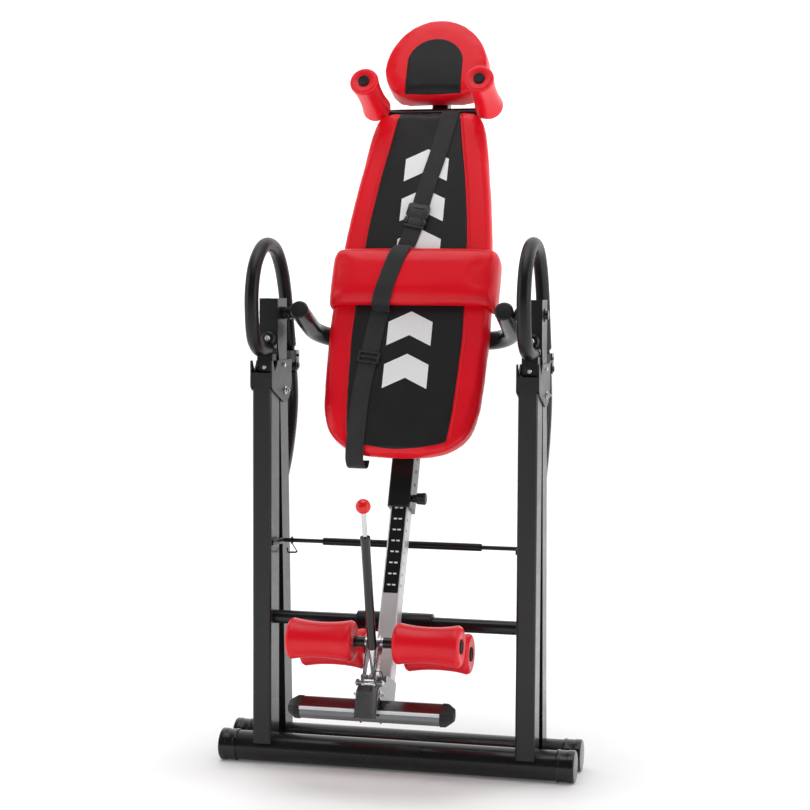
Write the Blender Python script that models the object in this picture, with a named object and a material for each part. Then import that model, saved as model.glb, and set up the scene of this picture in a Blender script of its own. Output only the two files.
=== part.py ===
"""Inversion table: a folding A-frame that carries a tilting bed with an ankle clamp.

Frame in metres: +X to the right of someone facing the bed, +Y to the rear, +Z up, with the
floor at z = 0.  Bed parts are placed in the bed's own frame: x across, u up along the boom,
n out of the bed towards its user.  Everything is drawn from the uprights' middle plane and
moved by ROW_SHIFT at the end, which puts the origin under the middle of the overall box.
"""
import math

import bmesh
import bpy
from mathutils import Matrix, Vector

# ---------------------------------------------------------------- driving dimensions
ROW_SHIFT = (0, -0.0945, 0)
GAP = 0.0003                      # clearance between pieces that touch
SHEET = 0.003                     # bracket sheet thickness
WALL = 0.002                      # tube wall

LEG_X = 0.270                     # centre plane of each leg
LEG_W, LEG_D = 0.039, 0.060       # front upright section
REAR_D = 0.050                    # rear leg depth
UPRIGHT_TOP = 0.795
BASE_R, BASE_Z = 0.030, 0.0305    # floor tubes
BASE_HALF = 0.3535
CAP_R = 0.0325
FRONT_Y, REAR_Y = 0.0066, 0.0975  # floor tube axes

FOLD_Y, FOLD_Z = 0.0565, 0.759    # hinge of the rear frame
STAY_Y, STAY_Z = 0.1672, 0.806    # hinge of the two stays
CROSSBAR_Y, CROSSBAR_Z, CROSSBAR_R = 0.003, 0.301, 0.0138
TIE_Y, TIE_Z, TIE_R = 0.055, 0.4508, 0.0042

BED_TILT = math.radians(22.85)    # lean of the bed when the boom rests on the crossbar
BED_Y, BED_Z = -0.0029, 0.450     # bed frame origin, on the boom's front face
PIVOT_U, PIVOT_N = 0.4493, 0.1366
BOOM_HALF_W, BOOM_D = 0.018, 0.0413
SPINE_HALF_W, SPINE_FRONT, SPINE_BACK = 0.023, 0.0094, -0.0497
SPINE_BOTTOM, SPINE_TOP = 0.0907, 0.925
ARM_X, ARM_R = 0.2104, 0.019

PAD_BACK, PAD_FACE = 0.0403, 0.079
BOARD_BACK = 0.031
HEAD_BACK, HEAD_FACE = 0.0155, 0.0755

FRONT_ANKLE = (-0.207, 0.082)     # u, n
REAR_ANKLE = (-0.2006, -0.0172)
ANKLE_R, ANKLE_BAR_R = 0.0398, 0.0095
ANKLE_IN, ANKLE_OUT = 0.0405, 0.1705
FOOTREST = (-0.337, 0.075)        # u, n
LEVER_PIN = (-0.272, 0.059)
LEVER_LEAN = math.radians(37.1)
YOKE_PIN = (-0.287, 0.092)
KNOB = (0.1075, -0.008)
SHOULDER = (0.955, 0.030)
SHOULDER_X = 0.1225

# ---------------------------------------------------------------- materials
FINISH = {
    "black_steel": ((0.022, 0.022, 0.024), 0.38, 0.55),
    "black_plastic": ((0.015, 0.015, 0.016), 0.45, 0.0),
    "black_foam": ((0.018, 0.018, 0.019), 0.85, 0.0),
    "chrome": ((0.80, 0.80, 0.82), 0.12, 1.0),
    "brushed_steel": ((0.62, 0.62, 0.63), 0.32, 1.0),
    "red_vinyl": ((0.70, 0.012, 0.025), 0.42, 0.0),
    "red_foam": ((0.72, 0.015, 0.03), 0.70, 0.0),
    "red_plastic": ((0.80, 0.02, 0.02), 0.18, 0.0),
    "black_webbing": ((0.02, 0.02, 0.022), 0.80, 0.0),
    "plywood": ((0.45, 0.30, 0.17), 0.70, 0.0),
}


def material(slot):
    found = bpy.data.materials.get(slot)
    if found:
        return found
    colour, rough, metal = FINISH[slot]
    mat = bpy.data.materials.new(slot)
    mat.use_nodes = True
    bsdf = mat.node_tree.nodes["Principled BSDF"]
    bsdf.inputs["Base Color"].default_value = (*colour, 1.0)
    bsdf.inputs["Roughness"].default_value = rough
    bsdf.inputs["Metallic"].default_value = metal
    mat.diffuse_color = (*colour, 1.0)
    return mat


# ---------------------------------------------------------------- frames
U_DIR = Vector((0, math.sin(BED_TILT), math.cos(BED_TILT)))
N_DIR = Vector((0, -math.cos(BED_TILT), math.sin(BED_TILT)))


def bed(x, u, n):
    """World point of a bed-frame position."""
    return Vector((x, BED_Y, BED_Z)) + u * U_DIR + n * N_DIR


def world(x, y, z):
    return Vector((x, y, z))


# ---------------------------------------------------------------- mesh building
def publish(name, bm, slot, origin=(0, 0, 0), sharp=30):
    """Turn a bmesh in world coordinates into a named object with its origin on a joint."""
    bmesh.ops.recalc_face_normals(bm, faces=bm.faces)
    mesh = bpy.data.meshes.new(name)
    shift = Matrix.Translation(-Vector(origin))
    bm.transform(shift)
    bm.to_mesh(mesh)
    bm.free()
    obj = bpy.data.objects.new(name, mesh)
    obj.location = Vector(origin) + Vector(ROW_SHIFT)
    bpy.context.scene.collection.objects.link(obj)
    mesh.materials.append(material(slot))
    mesh.shade_smooth()
    mesh.set_sharp_from_angle(angle=math.radians(sharp))
    return obj


def bridge(bm, rings, closed=False):
    """Quad skin between consecutive rings of vertices."""
    pairs = list(zip(rings, rings[1:] + (rings[:1] if closed else [])))
    if not closed:
        pairs = pairs[:len(rings) - 1]
    for a, b in pairs:
        count = len(a)
        for i in range(count):
            j = (i + 1) % count
            bm.faces.new((a[i], a[j], b[j], b[i]))


def prism(outline, place, low, high):
    """Extrude a 2D outline; place(p, q, h) gives the world point."""
    bm = bmesh.new()
    ends = [[bm.verts.new(place(p, q, h)) for p, q in outline] for h in (low, high)]
    bridge(bm, ends)
    bm.faces.new(ends[0])
    bm.faces.new(list(reversed(ends[1])))
    return bm


def box(place, p, q, h):
    outline = [(p[0], q[0]), (p[1], q[0]), (p[1], q[1]), (p[0], q[1])]
    return prism(outline, place, *h)


def rounded(half_w, half_h, radius, cx=0.0, cy=0.0, steps=3):
    """Rounded rectangle outline."""
    points = []
    for k, (sx, sy) in enumerate([(1, 1), (-1, 1), (-1, -1), (1, -1)]):
        for i in range(steps + 1):
            a = math.radians(90 * k + 90 * i / steps)
            points.append((cx + sx * (half_w - radius) + radius * math.cos(a),
                           cy + sy * (half_h - radius) + radius * math.sin(a)))
    return points


def hollow_prism(outer, inner, place, low, high):
    """Open-ended tube between two outlines with the same number of points."""
    bm = bmesh.new()
    out = [[bm.verts.new(place(p, q, h)) for p, q in outer] for h in (low, high)]
    inn = [[bm.verts.new(place(p, q, h)) for p, q in inner] for h in (low, high)]
    bridge(bm, [out[0], out[1], inn[1], inn[0]], closed=True)
    return bm


def lathe(profile, origin, axis, sides=24, bore=False):
    """Solid of revolution; profile is (distance along axis, radius) pairs."""
    axis = Vector(axis).normalized()
    side = axis.orthogonal().normalized()
    other = axis.cross(side)
    bm = bmesh.new()
    rings = []
    for along, radius in profile:
        ring = []
        for i in range(sides):
            a = math.tau * i / sides
            offset = radius * (math.cos(a) * side + math.sin(a) * other)
            ring.append(bm.verts.new(Vector(origin) + along * axis + offset))
        rings.append(ring)
    bridge(bm, rings, closed=bore)
    if not bore:
        bm.faces.new(rings[0])
        bm.faces.new(list(reversed(rings[-1])))
    return bm


def spline(points, steps):
    """Catmull-Rom curve through the points."""
    points = [Vector(p) for p in points]
    ends = [2 * points[0] - points[1]] + points + [2 * points[-1] - points[-2]]
    curve = []
    for a, b, c, d in zip(ends, ends[1:], ends[2:], ends[3:]):
        for i in range(steps):
            t = i / steps
            curve.append(0.5 * (2 * b + (c - a) * t + (2 * a - 5 * b + 4 * c - d) * t * t
                                + (3 * b - a - 3 * c + d) * t ** 3))
    return curve + [points[-1]]


def filleted(points, radius, steps=6):
    """Polyline with each inner corner replaced by an arc."""
    points = [Vector(p) for p in points]
    path = [points[0]]
    for before, corner, after in zip(points, points[1:], points[2:]):
        a, b = (before - corner).normalized(), (after - corner).normalized()
        half = a.angle(b) / 2
        reach = radius / math.tan(half)
        centre = corner + (a + b).normalized() * radius / math.sin(half)
        start, stop = corner + a * reach - centre, corner + b * reach - centre
        sweep = start.angle(stop)
        for i in range(steps + 1):
            t = i / steps
            arc = (math.sin((1 - t) * sweep) * start + math.sin(t * sweep) * stop) / math.sin(sweep)
            path.append(centre + arc)
    return path + [points[-1]]


def sweep(path, radius, side, sides=14, bore=None):
    """Round bar along a path that lies in the plane normal to side."""
    side = Vector(side).normalized()
    bm = bmesh.new()

    def rings(r):
        made = []
        for i, point in enumerate(path):
            tangent = (path[min(i + 1, len(path) - 1)] - path[max(i - 1, 0)]).normalized()
            other = tangent.cross(side).normalized()
            made.append([bm.verts.new(point + r * (math.cos(math.tau * k / sides) * side
                                                   + math.sin(math.tau * k / sides) * other))
                         for k in range(sides)])
        return made

    outer = rings(radius)
    if bore:
        inner = rings(bore)
        bridge(bm, outer + inner[::-1], closed=True)
    else:
        bridge(bm, outer)
        bm.faces.new(outer[0])
        bm.faces.new(list(reversed(outer[-1])))
    return bm


def combine(first, *others, how="DIFFERENCE"):
    """Exact Boolean of bmeshes, freeing them all."""
    made = []
    for k, bm in enumerate((first, *others)):
        bmesh.ops.recalc_face_normals(bm, faces=bm.faces)
        mesh = bpy.data.meshes.new(f"cutter{k}")
        bm.to_mesh(mesh)
        bm.free()
        obj = bpy.data.objects.new(f"cutter{k}", mesh)
        bpy.context.scene.collection.objects.link(obj)
        made.append(obj)
    target = made[0]
    for cutter in made[1:]:
        cutter.hide_render = True
        cutter.display_type = "WIRE"
        modifier = target.modifiers.new("cut", "BOOLEAN")
        modifier.operation = how
        modifier.solver = "EXACT"
        modifier.object = cutter
    graph = bpy.context.evaluated_depsgraph_get()
    result = bmesh.new()
    result.from_object(target, graph)
    for obj in made:
        mesh = obj.data
        bpy.data.objects.remove(obj)
        bpy.data.meshes.remove(mesh)
    bmesh.ops.remove_doubles(result, verts=result.verts, dist=2e-6)
    return result


def rod(a, b, radius, sides=16):
    a, b = Vector(a), Vector(b)
    return lathe([(0, radius), ((b - a).length, radius)], a, b - a, sides)


def bolt(x, spot, reach, shank, head, thick, outward):
    """Bolt along X with a head at both ends; spot gives the world point at an x."""
    inner, outer = x - outward * reach, x + outward * reach
    length = (2 * reach)
    profile = [(-thick, head), (0, head), (0, shank), (length, shank), (length, head),
               (length + thick, head)]
    return lathe(profile, spot(inner), (outer - inner, 0, 0), 12)


# ---------------------------------------------------------------- scene reset
for old in list(bpy.data.objects):
    bpy.data.objects.remove(old)

SIDES = {"left": -1, "right": 1}
PIVOT = bed(0, PIVOT_U, PIVOT_N)
FOLD = world(0, FOLD_Y, FOLD_Z)

# ---------------------------------------------------------------- floor tubes
for frame, y, origin in (("front", FRONT_Y, (0, 0, 0)), ("rear", REAR_Y, FOLD)):
    axis_start = world(-BASE_HALF, y, BASE_Z)
    tube = lathe([(0, BASE_R), (2 * BASE_HALF, BASE_R), (2 * BASE_HALF, BASE_R - WALL),
                  (0, BASE_R - WALL)], axis_start, (1, 0, 0), 24, bore=True)
    publish(f"{frame}_base_tube", tube, "black_steel", origin)
    for side, s in SIDES.items():
        cup = lathe([(-0.024, CAP_R), (0.009, CAP_R), (0.0125, CAP_R - 0.0035)],
                    world(s * BASE_HALF, y, BASE_Z), (s, 0, 0), 24)
        socket = lathe([(-0.050, BASE_R + GAP), (GAP, BASE_R + GAP)],
                       world(s * BASE_HALF, y, BASE_Z), (s, 0, 0), 24)
        floor = box(world, (-0.5, 0.5), (-0.2, 0.3), (-0.05, 0.0))
        cup = combine(cup, socket, floor)
        publish(f"{frame}_base_cap_{side}", cup, "black_plastic", origin)

# ---------------------------------------------------------------- uprights and rear legs
rear_run = Vector((0, REAR_Y - FOLD_Y, BASE_Z - FOLD_Z))
rear_down = rear_run.normalized()
rear_back = Vector((0, -rear_down.z, rear_down.y))


def on_leg(x, across, down):
    return FOLD + Vector((x, 0, 0)) + across * rear_back + down * rear_down


for side, s in SIDES.items():
    centre = s * LEG_X
    outer = rounded(LEG_W / 2, LEG_D / 2, 0.005, cx=centre)
    inner = rounded(LEG_W / 2 - WALL, LEG_D / 2 - WALL, 0.003, cx=centre)
    upright = hollow_prism(outer, inner, lambda p, q, h: world(p, q, h), 0.045, UPRIGHT_TOP)
    base = rod((-0.4, FRONT_Y, BASE_Z), (0.4, FRONT_Y, BASE_Z), BASE_R + GAP, 24)
    publish(f"upright_{side}", combine(upright, base), "black_steel")

    half = REAR_D / 2
    outline = [(half * math.cos(math.radians(a)), -half * math.sin(math.radians(a)))
               for a in range(0, 181, 20)] + [(-half, rear_run.length - 0.014),
                                              (half, rear_run.length - 0.014)]
    leg = prism(outline, lambda p, q, h: on_leg(h, p, q),
                centre - LEG_W / 2, centre + LEG_W / 2)
    core = box(lambda p, q, h: on_leg(h, p, q), (-half + WALL, half - WALL), (-0.1, 0.9),
               (centre - LEG_W / 2 + WALL, centre + LEG_W / 2 - WALL))
    base = rod((-0.4, REAR_Y, BASE_Z), (0.4, REAR_Y, BASE_Z), BASE_R + GAP, 24)
    hinge_hole = rod((centre - 0.03, FOLD_Y, FOLD_Z), (centre + 0.03, FOLD_Y, FOLD_Z), 0.0053)
    publish(f"rear_leg_{side}", combine(leg, core, base, hinge_hole), "black_steel", FOLD)

# ---------------------------------------------------------------- head brackets of the frame
PLATE_IN = LEG_W / 2 + GAP
SADDLE_FRONT = -LEG_D / 2 - GAP - SHEET
SADDLE_TOP = 0.8215
CHANNEL_FRONT, CHANNEL_BACK, CHANNEL_TOP = 0.0153, 0.076, 0.947
CHANNEL_FOOT, WEB_FOOT = 0.7995, 0.860
CLAMP_BOLT_Y, CLAMP_BOLT_Z = 0.045, 0.8115

lobe = [(FOLD_Y - 0.002 + 0.046 * math.cos(math.radians(a)),
         FOLD_Z + 0.022 + 0.046 * math.sin(math.radians(a))) for a in range(-120, 16, 15)]
saddle_outline = ([(SADDLE_FRONT, 0.770), (-0.026, 0.764)] + lobe
                  + [(FOLD_Y + 0.0455, SADDLE_TOP), (0.006, SADDLE_TOP), (0.000, 0.812),
                     (-0.014, 0.800), (-0.026, 0.8225), (SADDLE_FRONT, 0.8225)])

for side, s in SIDES.items():
    centre = s * LEG_X

    def across(y, z, h, centre=centre):
        return world(centre + h, y, z)

    plates = [prism(saddle_outline, across, *sorted((e * PLATE_IN, e * (PLATE_IN + SHEET))))
              for e in (-1, 1)]
    web = box(across, (SADDLE_FRONT, SADDLE_FRONT + SHEET), (0.770, 0.798),
              (-PLATE_IN - SHEET / 2, PLATE_IN + SHEET / 2))
    saddle = combine(web, *plates, how="UNION")
    holes = [rod((centre - 0.04, y, z), (centre + 0.04, y, z), r) for y, z, r in
             ((FOLD_Y, FOLD_Z, 0.0053), (CLAMP_BOLT_Y, CLAMP_BOLT_Z, 0.0043))]
    publish(f"saddle_bracket_{side}", combine(saddle, *holes), "black_steel")

    sheet_out, sheet_in = LEG_W / 2, LEG_W / 2 - SHEET
    plate_outline = [(CHANNEL_FRONT, WEB_FOOT), (CHANNEL_FRONT + 0.016, CHANNEL_FOOT),
                     (CHANNEL_BACK - 0.006, CHANNEL_FOOT), (CHANNEL_BACK, CHANNEL_FOOT + 0.008),
                     (CHANNEL_BACK, CHANNEL_TOP), (CHANNEL_FRONT, CHANNEL_TOP)]
    plates = [prism(plate_outline, across, *sorted((e * sheet_in, e * sheet_out)))
              for e in (-1, 1)]
    web = box(across, (CHANNEL_FRONT, CHANNEL_FRONT + SHEET), (WEB_FOOT, CHANNEL_TOP),
              (-sheet_in - SHEET / 2, sheet_in + SHEET / 2))
    channel = combine(web, *plates, how="UNION")
    holes = [rod((centre - 0.04, y, z), (centre + 0.04, y, z), r) for y, z, r in
             ((PIVOT.y, PIVOT.z, 0.0085), (CLAMP_BOLT_Y, CLAMP_BOLT_Z, 0.0043))]
    publish(f"pivot_channel_{side}", combine(channel, *holes), "black_steel")

    reach = PLATE_IN + SHEET + GAP
    publish(f"fold_bolt_{side}",
            bolt(centre, lambda x: world(x, FOLD_Y, FOLD_Z), reach, 0.005, 0.0092, 0.006, s),
            "chrome")

# ---------------------------------------------------------------- handles and stays
HANDLE_X = 0.271
GRIP_R, RAIL_R = 0.0141, 0.0105
HANDLE_PATH = [(0.052, 0.8425), (0.000, 0.8425), (-0.045, 0.8465), (-0.077, 0.870),
               (-0.0887, 0.915), (-0.0880, 0.965), (-0.068, 1.013), (-0.028, 1.0455),
               (0.017, 1.0556), (0.065, 1.0450), (0.103, 1.010), (0.128, 0.962),
               (0.145, 0.905), (0.157, 0.862), (0.1665, 0.829)]
STAY_PATH = [(STAY_Y, STAY_Z), (0.1755, 0.770), (0.178, 0.735), (0.172, 0.695),
             (0.158, 0.655), (0.138, 0.615), (0.1085, 0.573)]

for side, s in SIDES.items():
    x = s * HANDLE_X
    path = spline([(x, y, z) for y, z in HANDLE_PATH], 2)
    rail = sweep(path, RAIL_R, (1, 0, 0), 8)

    def beside(y, z, h, x=x):
        return world(x + h, y, z)

    collar = box(beside, (0.1555, 0.1775), (0.8235, 0.838), (-0.0165, 0.0165))
    ear = [(STAY_Y + 0.0105 * math.cos(math.radians(a)),
            STAY_Z + 0.0105 * math.sin(math.radians(a))) for a in range(180, 361, 30)]
    ear += [(0.1775, 0.830), (0.1555, 0.830)]
    ears = [prism(ear, beside, *sorted((e * 0.0144, e * 0.0165))) for e in (-1, 1)]
    pin = bolt(x, lambda px: world(px, STAY_Y, STAY_Z), 0.0160, 0.004, 0.0065, 0.0035, s)
    publish(f"handle_rail_{side}", combine(rail, collar, *ears, pin, how="UNION"),
            "black_steel")
    grip = sweep(path[1:-2], GRIP_R, (1, 0, 0), 8, bore=RAIL_R + GAP)
    publish(f"handle_grip_{side}", grip, "black_foam")

    origin = world(x, STAY_Y, STAY_Z)
    curve = spline([(x, y, z) for y, z in STAY_PATH], 2)
    stay = sweep(curve, 0.0138, (1, 0, 0), 10)
    knuckle = rod((x - 0.0136, STAY_Y, STAY_Z), (x + 0.0136, STAY_Y, STAY_Z), 0.0128)
    stay = combine(stay, knuckle, how="UNION")
    hole = rod((x - 0.03, STAY_Y, STAY_Z), (x + 0.03, STAY_Y, STAY_Z), 0.0043)
    publish(f"stay_{side}", combine(stay, hole), "black_steel", origin)

# ---------------------------------------------------------------- bars between the uprights
INNER_X = LEG_X - LEG_W / 2 - GAP
publish("crossbar", lathe([(0, CROSSBAR_R), (2 * INNER_X, CROSSBAR_R),
                           (2 * INNER_X, CROSSBAR_R - WALL), (0, CROSSBAR_R - WALL)],
                          world(-INNER_X, CROSSBAR_Y, CROSSBAR_Z), (1, 0, 0), 16, bore=True),
        "black_steel")
publish("crossbar_bumper",
        lathe([(0, 0.0185), (0.002, 0.0205), (0.153, 0.0205), (0.155, 0.0185),
               (0.155, CROSSBAR_R + GAP), (0, CROSSBAR_R + GAP)],
              world(-0.0775, CROSSBAR_Y, CROSSBAR_Z), (1, 0, 0), 16, bore=True), "black_foam")
LUG_X = INNER_X - SHEET
lugs = [prism([(-0.022, TIE_Z - 0.001), (TIE_Y, TIE_Z - 0.0065), (TIE_Y + 0.007, TIE_Z),
               (TIE_Y, TIE_Z + 0.0065), (-0.022, TIE_Z + 0.0095)],
              lambda y, z, h, s=s: world(s * h, y, z), LUG_X, INNER_X)
        for s in SIDES.values()]
rail = rod((-LUG_X - 0.001, TIE_Y, TIE_Z), (LUG_X + 0.001, TIE_Y, TIE_Z), TIE_R, 14)
publish("tie_rod", combine(rail, *lugs, how="UNION"), "black_steel")
publish("tie_rod_sleeve",
        lathe([(0, 0.0076), (0.330, 0.0076), (0.330, TIE_R + GAP), (0, TIE_R + GAP)],
              world(-0.165, TIE_Y, TIE_Z), (1, 0, 0), 16, bore=True), "black_foam")

# ---------------------------------------------------------------- fold lock hook
HOOK_X, HOOK_R = -0.232, 0.0018
eye = 0.0062 + HOOK_R / 2
turn = [(HOOK_X, TIE_Y + eye * math.cos(math.radians(a)), TIE_Z + eye * math.sin(math.radians(a)))
        for a in range(120, -181, -20)]
drop = [(HOOK_X, TIE_Y - eye - 0.001, TIE_Z - 0.010), (HOOK_X, TIE_Y - eye + 0.001, TIE_Z - 0.020)]
tip = [(HOOK_X, TIE_Y - eye + 0.009, TIE_Z - 0.0255), (HOOK_X, TIE_Y + 0.016, TIE_Z - 0.0262),
       (HOOK_X, TIE_Y + 0.020, TIE_Z - 0.020)]
hook = sweep([Vector(p) for p in turn] + [Vector(p) for p in drop + tip], HOOK_R, (1, 0, 0), 6)
publish("fold_hook", hook, "chrome", world(HOOK_X, TIE_Y, TIE_Z))

# ---------------------------------------------------------------- bed spine and swing arms
def bed_xn(x, n, u):
    return bed(x, u, n)


spine_mid = (SPINE_FRONT + SPINE_BACK) / 2
spine_half = (SPINE_FRONT - SPINE_BACK) / 2
spine = hollow_prism(rounded(SPINE_HALF_W, spine_half, 0.004, cy=spine_mid),
                     rounded(SPINE_HALF_W - 0.0025, spine_half - 0.0025, 0.0015, cy=spine_mid),
                     bed_xn, SPINE_BOTTOM, SPINE_TOP)
knob_hole = rod(bed(0.010, *KNOB), bed(0.040, *KNOB), 0.0056)
weldment = [combine(spine, knob_hole)]
rail_back, rail_front = SPINE_FRONT - 0.0013, BOARD_BACK - GAP
mid, deep = (rail_front + rail_back) / 2, (rail_front - rail_back) / 2
for u in (0.215, 0.800):
    weldment.append(hollow_prism(rounded(0.0175, deep, 0.002, cx=u, cy=mid),
                                 rounded(0.0155, deep - WALL, 0.001, cx=u, cy=mid),
                                 lambda p, q, h: bed(h, p, q), -0.085, 0.085))
weldment.append(box(lambda p, q, h: bed(p, q, h), (-0.0205, 0.0205), (0.860, 0.9675),
                    (SPINE_FRONT - 0.001, SHOULDER[1] - 0.0115 - GAP)))
publish("spine_tube", combine(*weldment, how="UNION"), "black_steel", PIVOT)

boom_mid = -BOOM_D / 2
guide_out = rounded(SPINE_HALF_W - 0.0028, spine_half - 0.0028, 0.0013, cy=spine_mid)
guide_in = rounded(BOOM_HALF_W + 0.0004, BOOM_D / 2 + 0.0004, 0.003, cy=boom_mid)
guide = hollow_prism(guide_out, guide_in, bed_xn, SPINE_BOTTOM - 0.0015, SPINE_BOTTOM + 0.009)
rim = hollow_prism(rounded(SPINE_HALF_W, spine_half, 0.004, cy=spine_mid), guide_in, bed_xn,
                   SPINE_BOTTOM - 0.0045, SPINE_BOTTOM - GAP)
publish("boom_guide", combine(guide, rim, how="UNION"), "black_plastic", PIVOT)

for side, s in SIDES.items():
    path = filleted([bed(s * ARM_X, PIVOT_U, PIVOT_N + 0.0155), bed(s * ARM_X, PIVOT_U, 0.002),
                     bed(s * (SPINE_HALF_W + GAP), PIVOT_U, -0.022)], 0.065, 6)
    arm = sweep(path, ARM_R, U_DIR, 12, bore=ARM_R - WALL)
    flush = box(lambda p, q, h: bed(p, q, h), sorted((0.0, s * (SPINE_HALF_W + GAP))),
                (PIVOT_U - 0.05, PIVOT_U + 0.05), (-0.1, 0.05))
    publish(f"swing_arm_{side}", combine(arm, flush), "black_steel", PIVOT)
    publish(f"arm_cap_{side}",
            lathe([(GAP, ARM_R + 0.0004), (0.003, ARM_R + 0.0004), (0.0045, ARM_R - 0.002)],
                  bed(s * ARM_X, PIVOT_U, PIVOT_N + 0.0155), N_DIR, 24), "black_plastic", PIVOT)
    publish(f"pivot_pin_{side}",
            lathe([(0, 0.0100), (0.0030, 0.0130), (0.0090, 0.0130), (0.0100, 0.0115),
                   (0.0110, 0.0130), (0.0200, 0.0130), (0.0200, 0.008), (0.0604, 0.008),
                   (0.0604, 0.013), (0.0620, 0.013), (0.0620, 0.0092), (0.0675, 0.0092)],
                  world(s * (ARM_X + ARM_R + 0.0004), PIVOT.y, PIVOT.z), (s, 0, 0), 16),
            "black_steel", PIVOT)

# ---------------------------------------------------------------- backrest
EDGE = [(0.000, 0.167), (0.060, 0.169), (0.108, 0.183), (0.143, 0.214), (0.1595, 0.256),
        (0.1660, 0.310), (0.1695, 0.380), (0.1710, 0.440), (0.1690, 0.510), (0.1605, 0.630),
        (0.1490, 0.735), (0.1345, 0.830), (0.1245, 0.885), (0.1130, 0.918), (0.0930, 0.931),
        (0.0500, 0.934), (0.000, 0.934)]


def backrest_outline(inset):
    half = [(max(p.x - inset * min(1, p.x / 0.08), 0.0),
             0.55 + (p.y - 0.55) * (1 - inset / 0.384)) for p in
            (Vector((v.x, v.y)) for v in spline([(x, u, 0) for x, u in EDGE], 2))]
    return half + [(-x, u) for x, u in reversed(half[1:-1])]


publish("backrest_board", prism(backrest_outline(0.012), bed, BOARD_BACK, PAD_BACK - GAP),
        "plywood", PIVOT)
publish("backrest_pad", prism(backrest_outline(0.0), bed, PAD_BACK, PAD_FACE),
        "red_vinyl", PIVOT)
LUMBAR_LOW, LUMBAR_HIGH, LUMBAR_HALF = 0.485, 0.613, 0.181
lumbar_section = [(-LUMBAR_HALF, 0.040), (-LUMBAR_HALF, 0.085), (-0.150, 0.110), (0.0, 0.114),
                  (0.150, 0.110), (LUMBAR_HALF, 0.085), (LUMBAR_HALF, 0.040),
                  (0.1705, 0.040), (0.1705, PAD_FACE + GAP), (-0.1705, PAD_FACE + GAP),
                  (-0.1705, 0.040)]
publish("lumbar_pad", prism(lumbar_section, bed_xn, LUMBAR_LOW, LUMBAR_HIGH), "red_vinyl", PIVOT)

# ---------------------------------------------------------------- belt
BELT_W, BELT_T = 0.037, 0.0016
BELT_PATH = [(0.050, 0.900, 0.0295), (0.049, 0.937, 0.0290), (0.048, 0.9415, 0.040),
             (0.048, 0.9415, 0.070), (0.047, 0.936, 0.0815), (0.030, 0.840, 0.0815),
             (0.000, 0.700, 0.0815), (-0.011, 0.650, 0.0830), (-0.0190, 0.624, 0.095),
             (-0.0205, 0.6195, 0.1130), (-0.0225, 0.616, 0.1165), (-0.026, 0.605, 0.1175),
             (-0.052, 0.495, 0.1175), (-0.0550, 0.483, 0.1165), (-0.0570, 0.4790, 0.1130),
             (-0.0600, 0.474, 0.095), (-0.064, 0.450, 0.0830),
             (-0.070, 0.400, 0.0815), (-0.080, 0.320, 0.0815), (-0.083, 0.200, 0.0815),
             (-0.083, 0.166, 0.0805), (-0.083, 0.146, 0.072), (-0.083, 0.135, 0.055),
             (-0.083, 0.146, 0.036), (-0.083, 0.172, 0.0265)]


def ribbon(points, width, thick):
    """Flat strap along bed-frame points, its width square to its run and in the bed plane."""
    bm = bmesh.new()
    spots = [bed(*p) for p in points]
    rings = []
    across_before = Vector((1, 0, 0))
    for i, spot in enumerate(spots):
        run = (spots[min(i + 1, len(spots) - 1)] - spots[max(i - 1, 0)]).normalized()
        across = (across_before - run * across_before.dot(run)).normalized()
        face = run.cross(across)
        rings.append([bm.verts.new(spot + a * width / 2 * across + f * thick / 2 * face)
                      for a, f in ((-1, -1), (1, -1), (1, 1), (-1, 1))])
    bridge(bm, rings)
    bm.faces.new(rings[0])
    bm.faces.new(list(reversed(rings[-1])))
    return bm


publish("belt", ribbon(BELT_PATH, BELT_W, BELT_T), "black_webbing", PIVOT)


def on_belt(u):
    """Placing function centred on the belt's straight upper run at a height u."""
    high, low = Vector(BELT_PATH[5]), Vector(BELT_PATH[6])
    spot = low.lerp(high, (u - low.y) / (high.y - low.y))
    slope = math.atan2(high.x - low.x, high.y - low.y)

    def place(p, q, h):
        return bed(spot.x + p * math.cos(slope) + q * math.sin(slope),
                   spot.y + q * math.cos(slope) - p * math.sin(slope), spot.z + h)
    return place


BUCKLE_U = 0.722
buckle = prism(rounded(0.0245, 0.027, 0.006, steps=3), on_belt(BUCKLE_U), -0.0022, 0.0085)
slot = box(on_belt(BUCKLE_U), (-BELT_W / 2 - 0.0005, BELT_W / 2 + 0.0005), (-0.05, 0.05),
           (-BELT_T / 2 - 0.0004, BELT_T / 2 + 0.0004))
publish("belt_buckle", combine(buckle, slot), "black_plastic", PIVOT)

# ---------------------------------------------------------------- shoulder bar and headrest
path = filleted([bed(-SHOULDER_X, SHOULDER[0], 0.181), bed(-SHOULDER_X, *SHOULDER),
                 bed(SHOULDER_X, *SHOULDER), bed(SHOULDER_X, SHOULDER[0], 0.181)], 0.020, 5)
publish("shoulder_bar", sweep(path, 0.0115, U_DIR, 10, bore=0.0095), "black_steel", PIVOT)


def concave(length, ends, waist, bore, edge=0.006):
    """Foam roller section: full at both ends, narrow in the middle."""
    profile = [(0, ends - edge), (edge * 0.4, ends - edge * 0.3), (edge, ends)]
    for i in range(1, 5):
        t = i / 5
        profile.append((edge + t * (length - 2 * edge),
                        waist + (ends - waist) * (2 * t - 1) ** 2))
    profile += [(length - edge, ends), (length - edge * 0.4, ends - edge * 0.3),
                (length, ends - edge), (length, bore), (0, bore)]
    return profile


for side, s in SIDES.items():
    publish(f"shoulder_roller_{side}",
            lathe(concave(0.127, 0.0305, 0.0265, 0.0118, 0.007),
                  bed(s * SHOULDER_X, SHOULDER[0], 0.0545), N_DIR, 16, bore=True),
            "red_foam", PIVOT)

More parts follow.
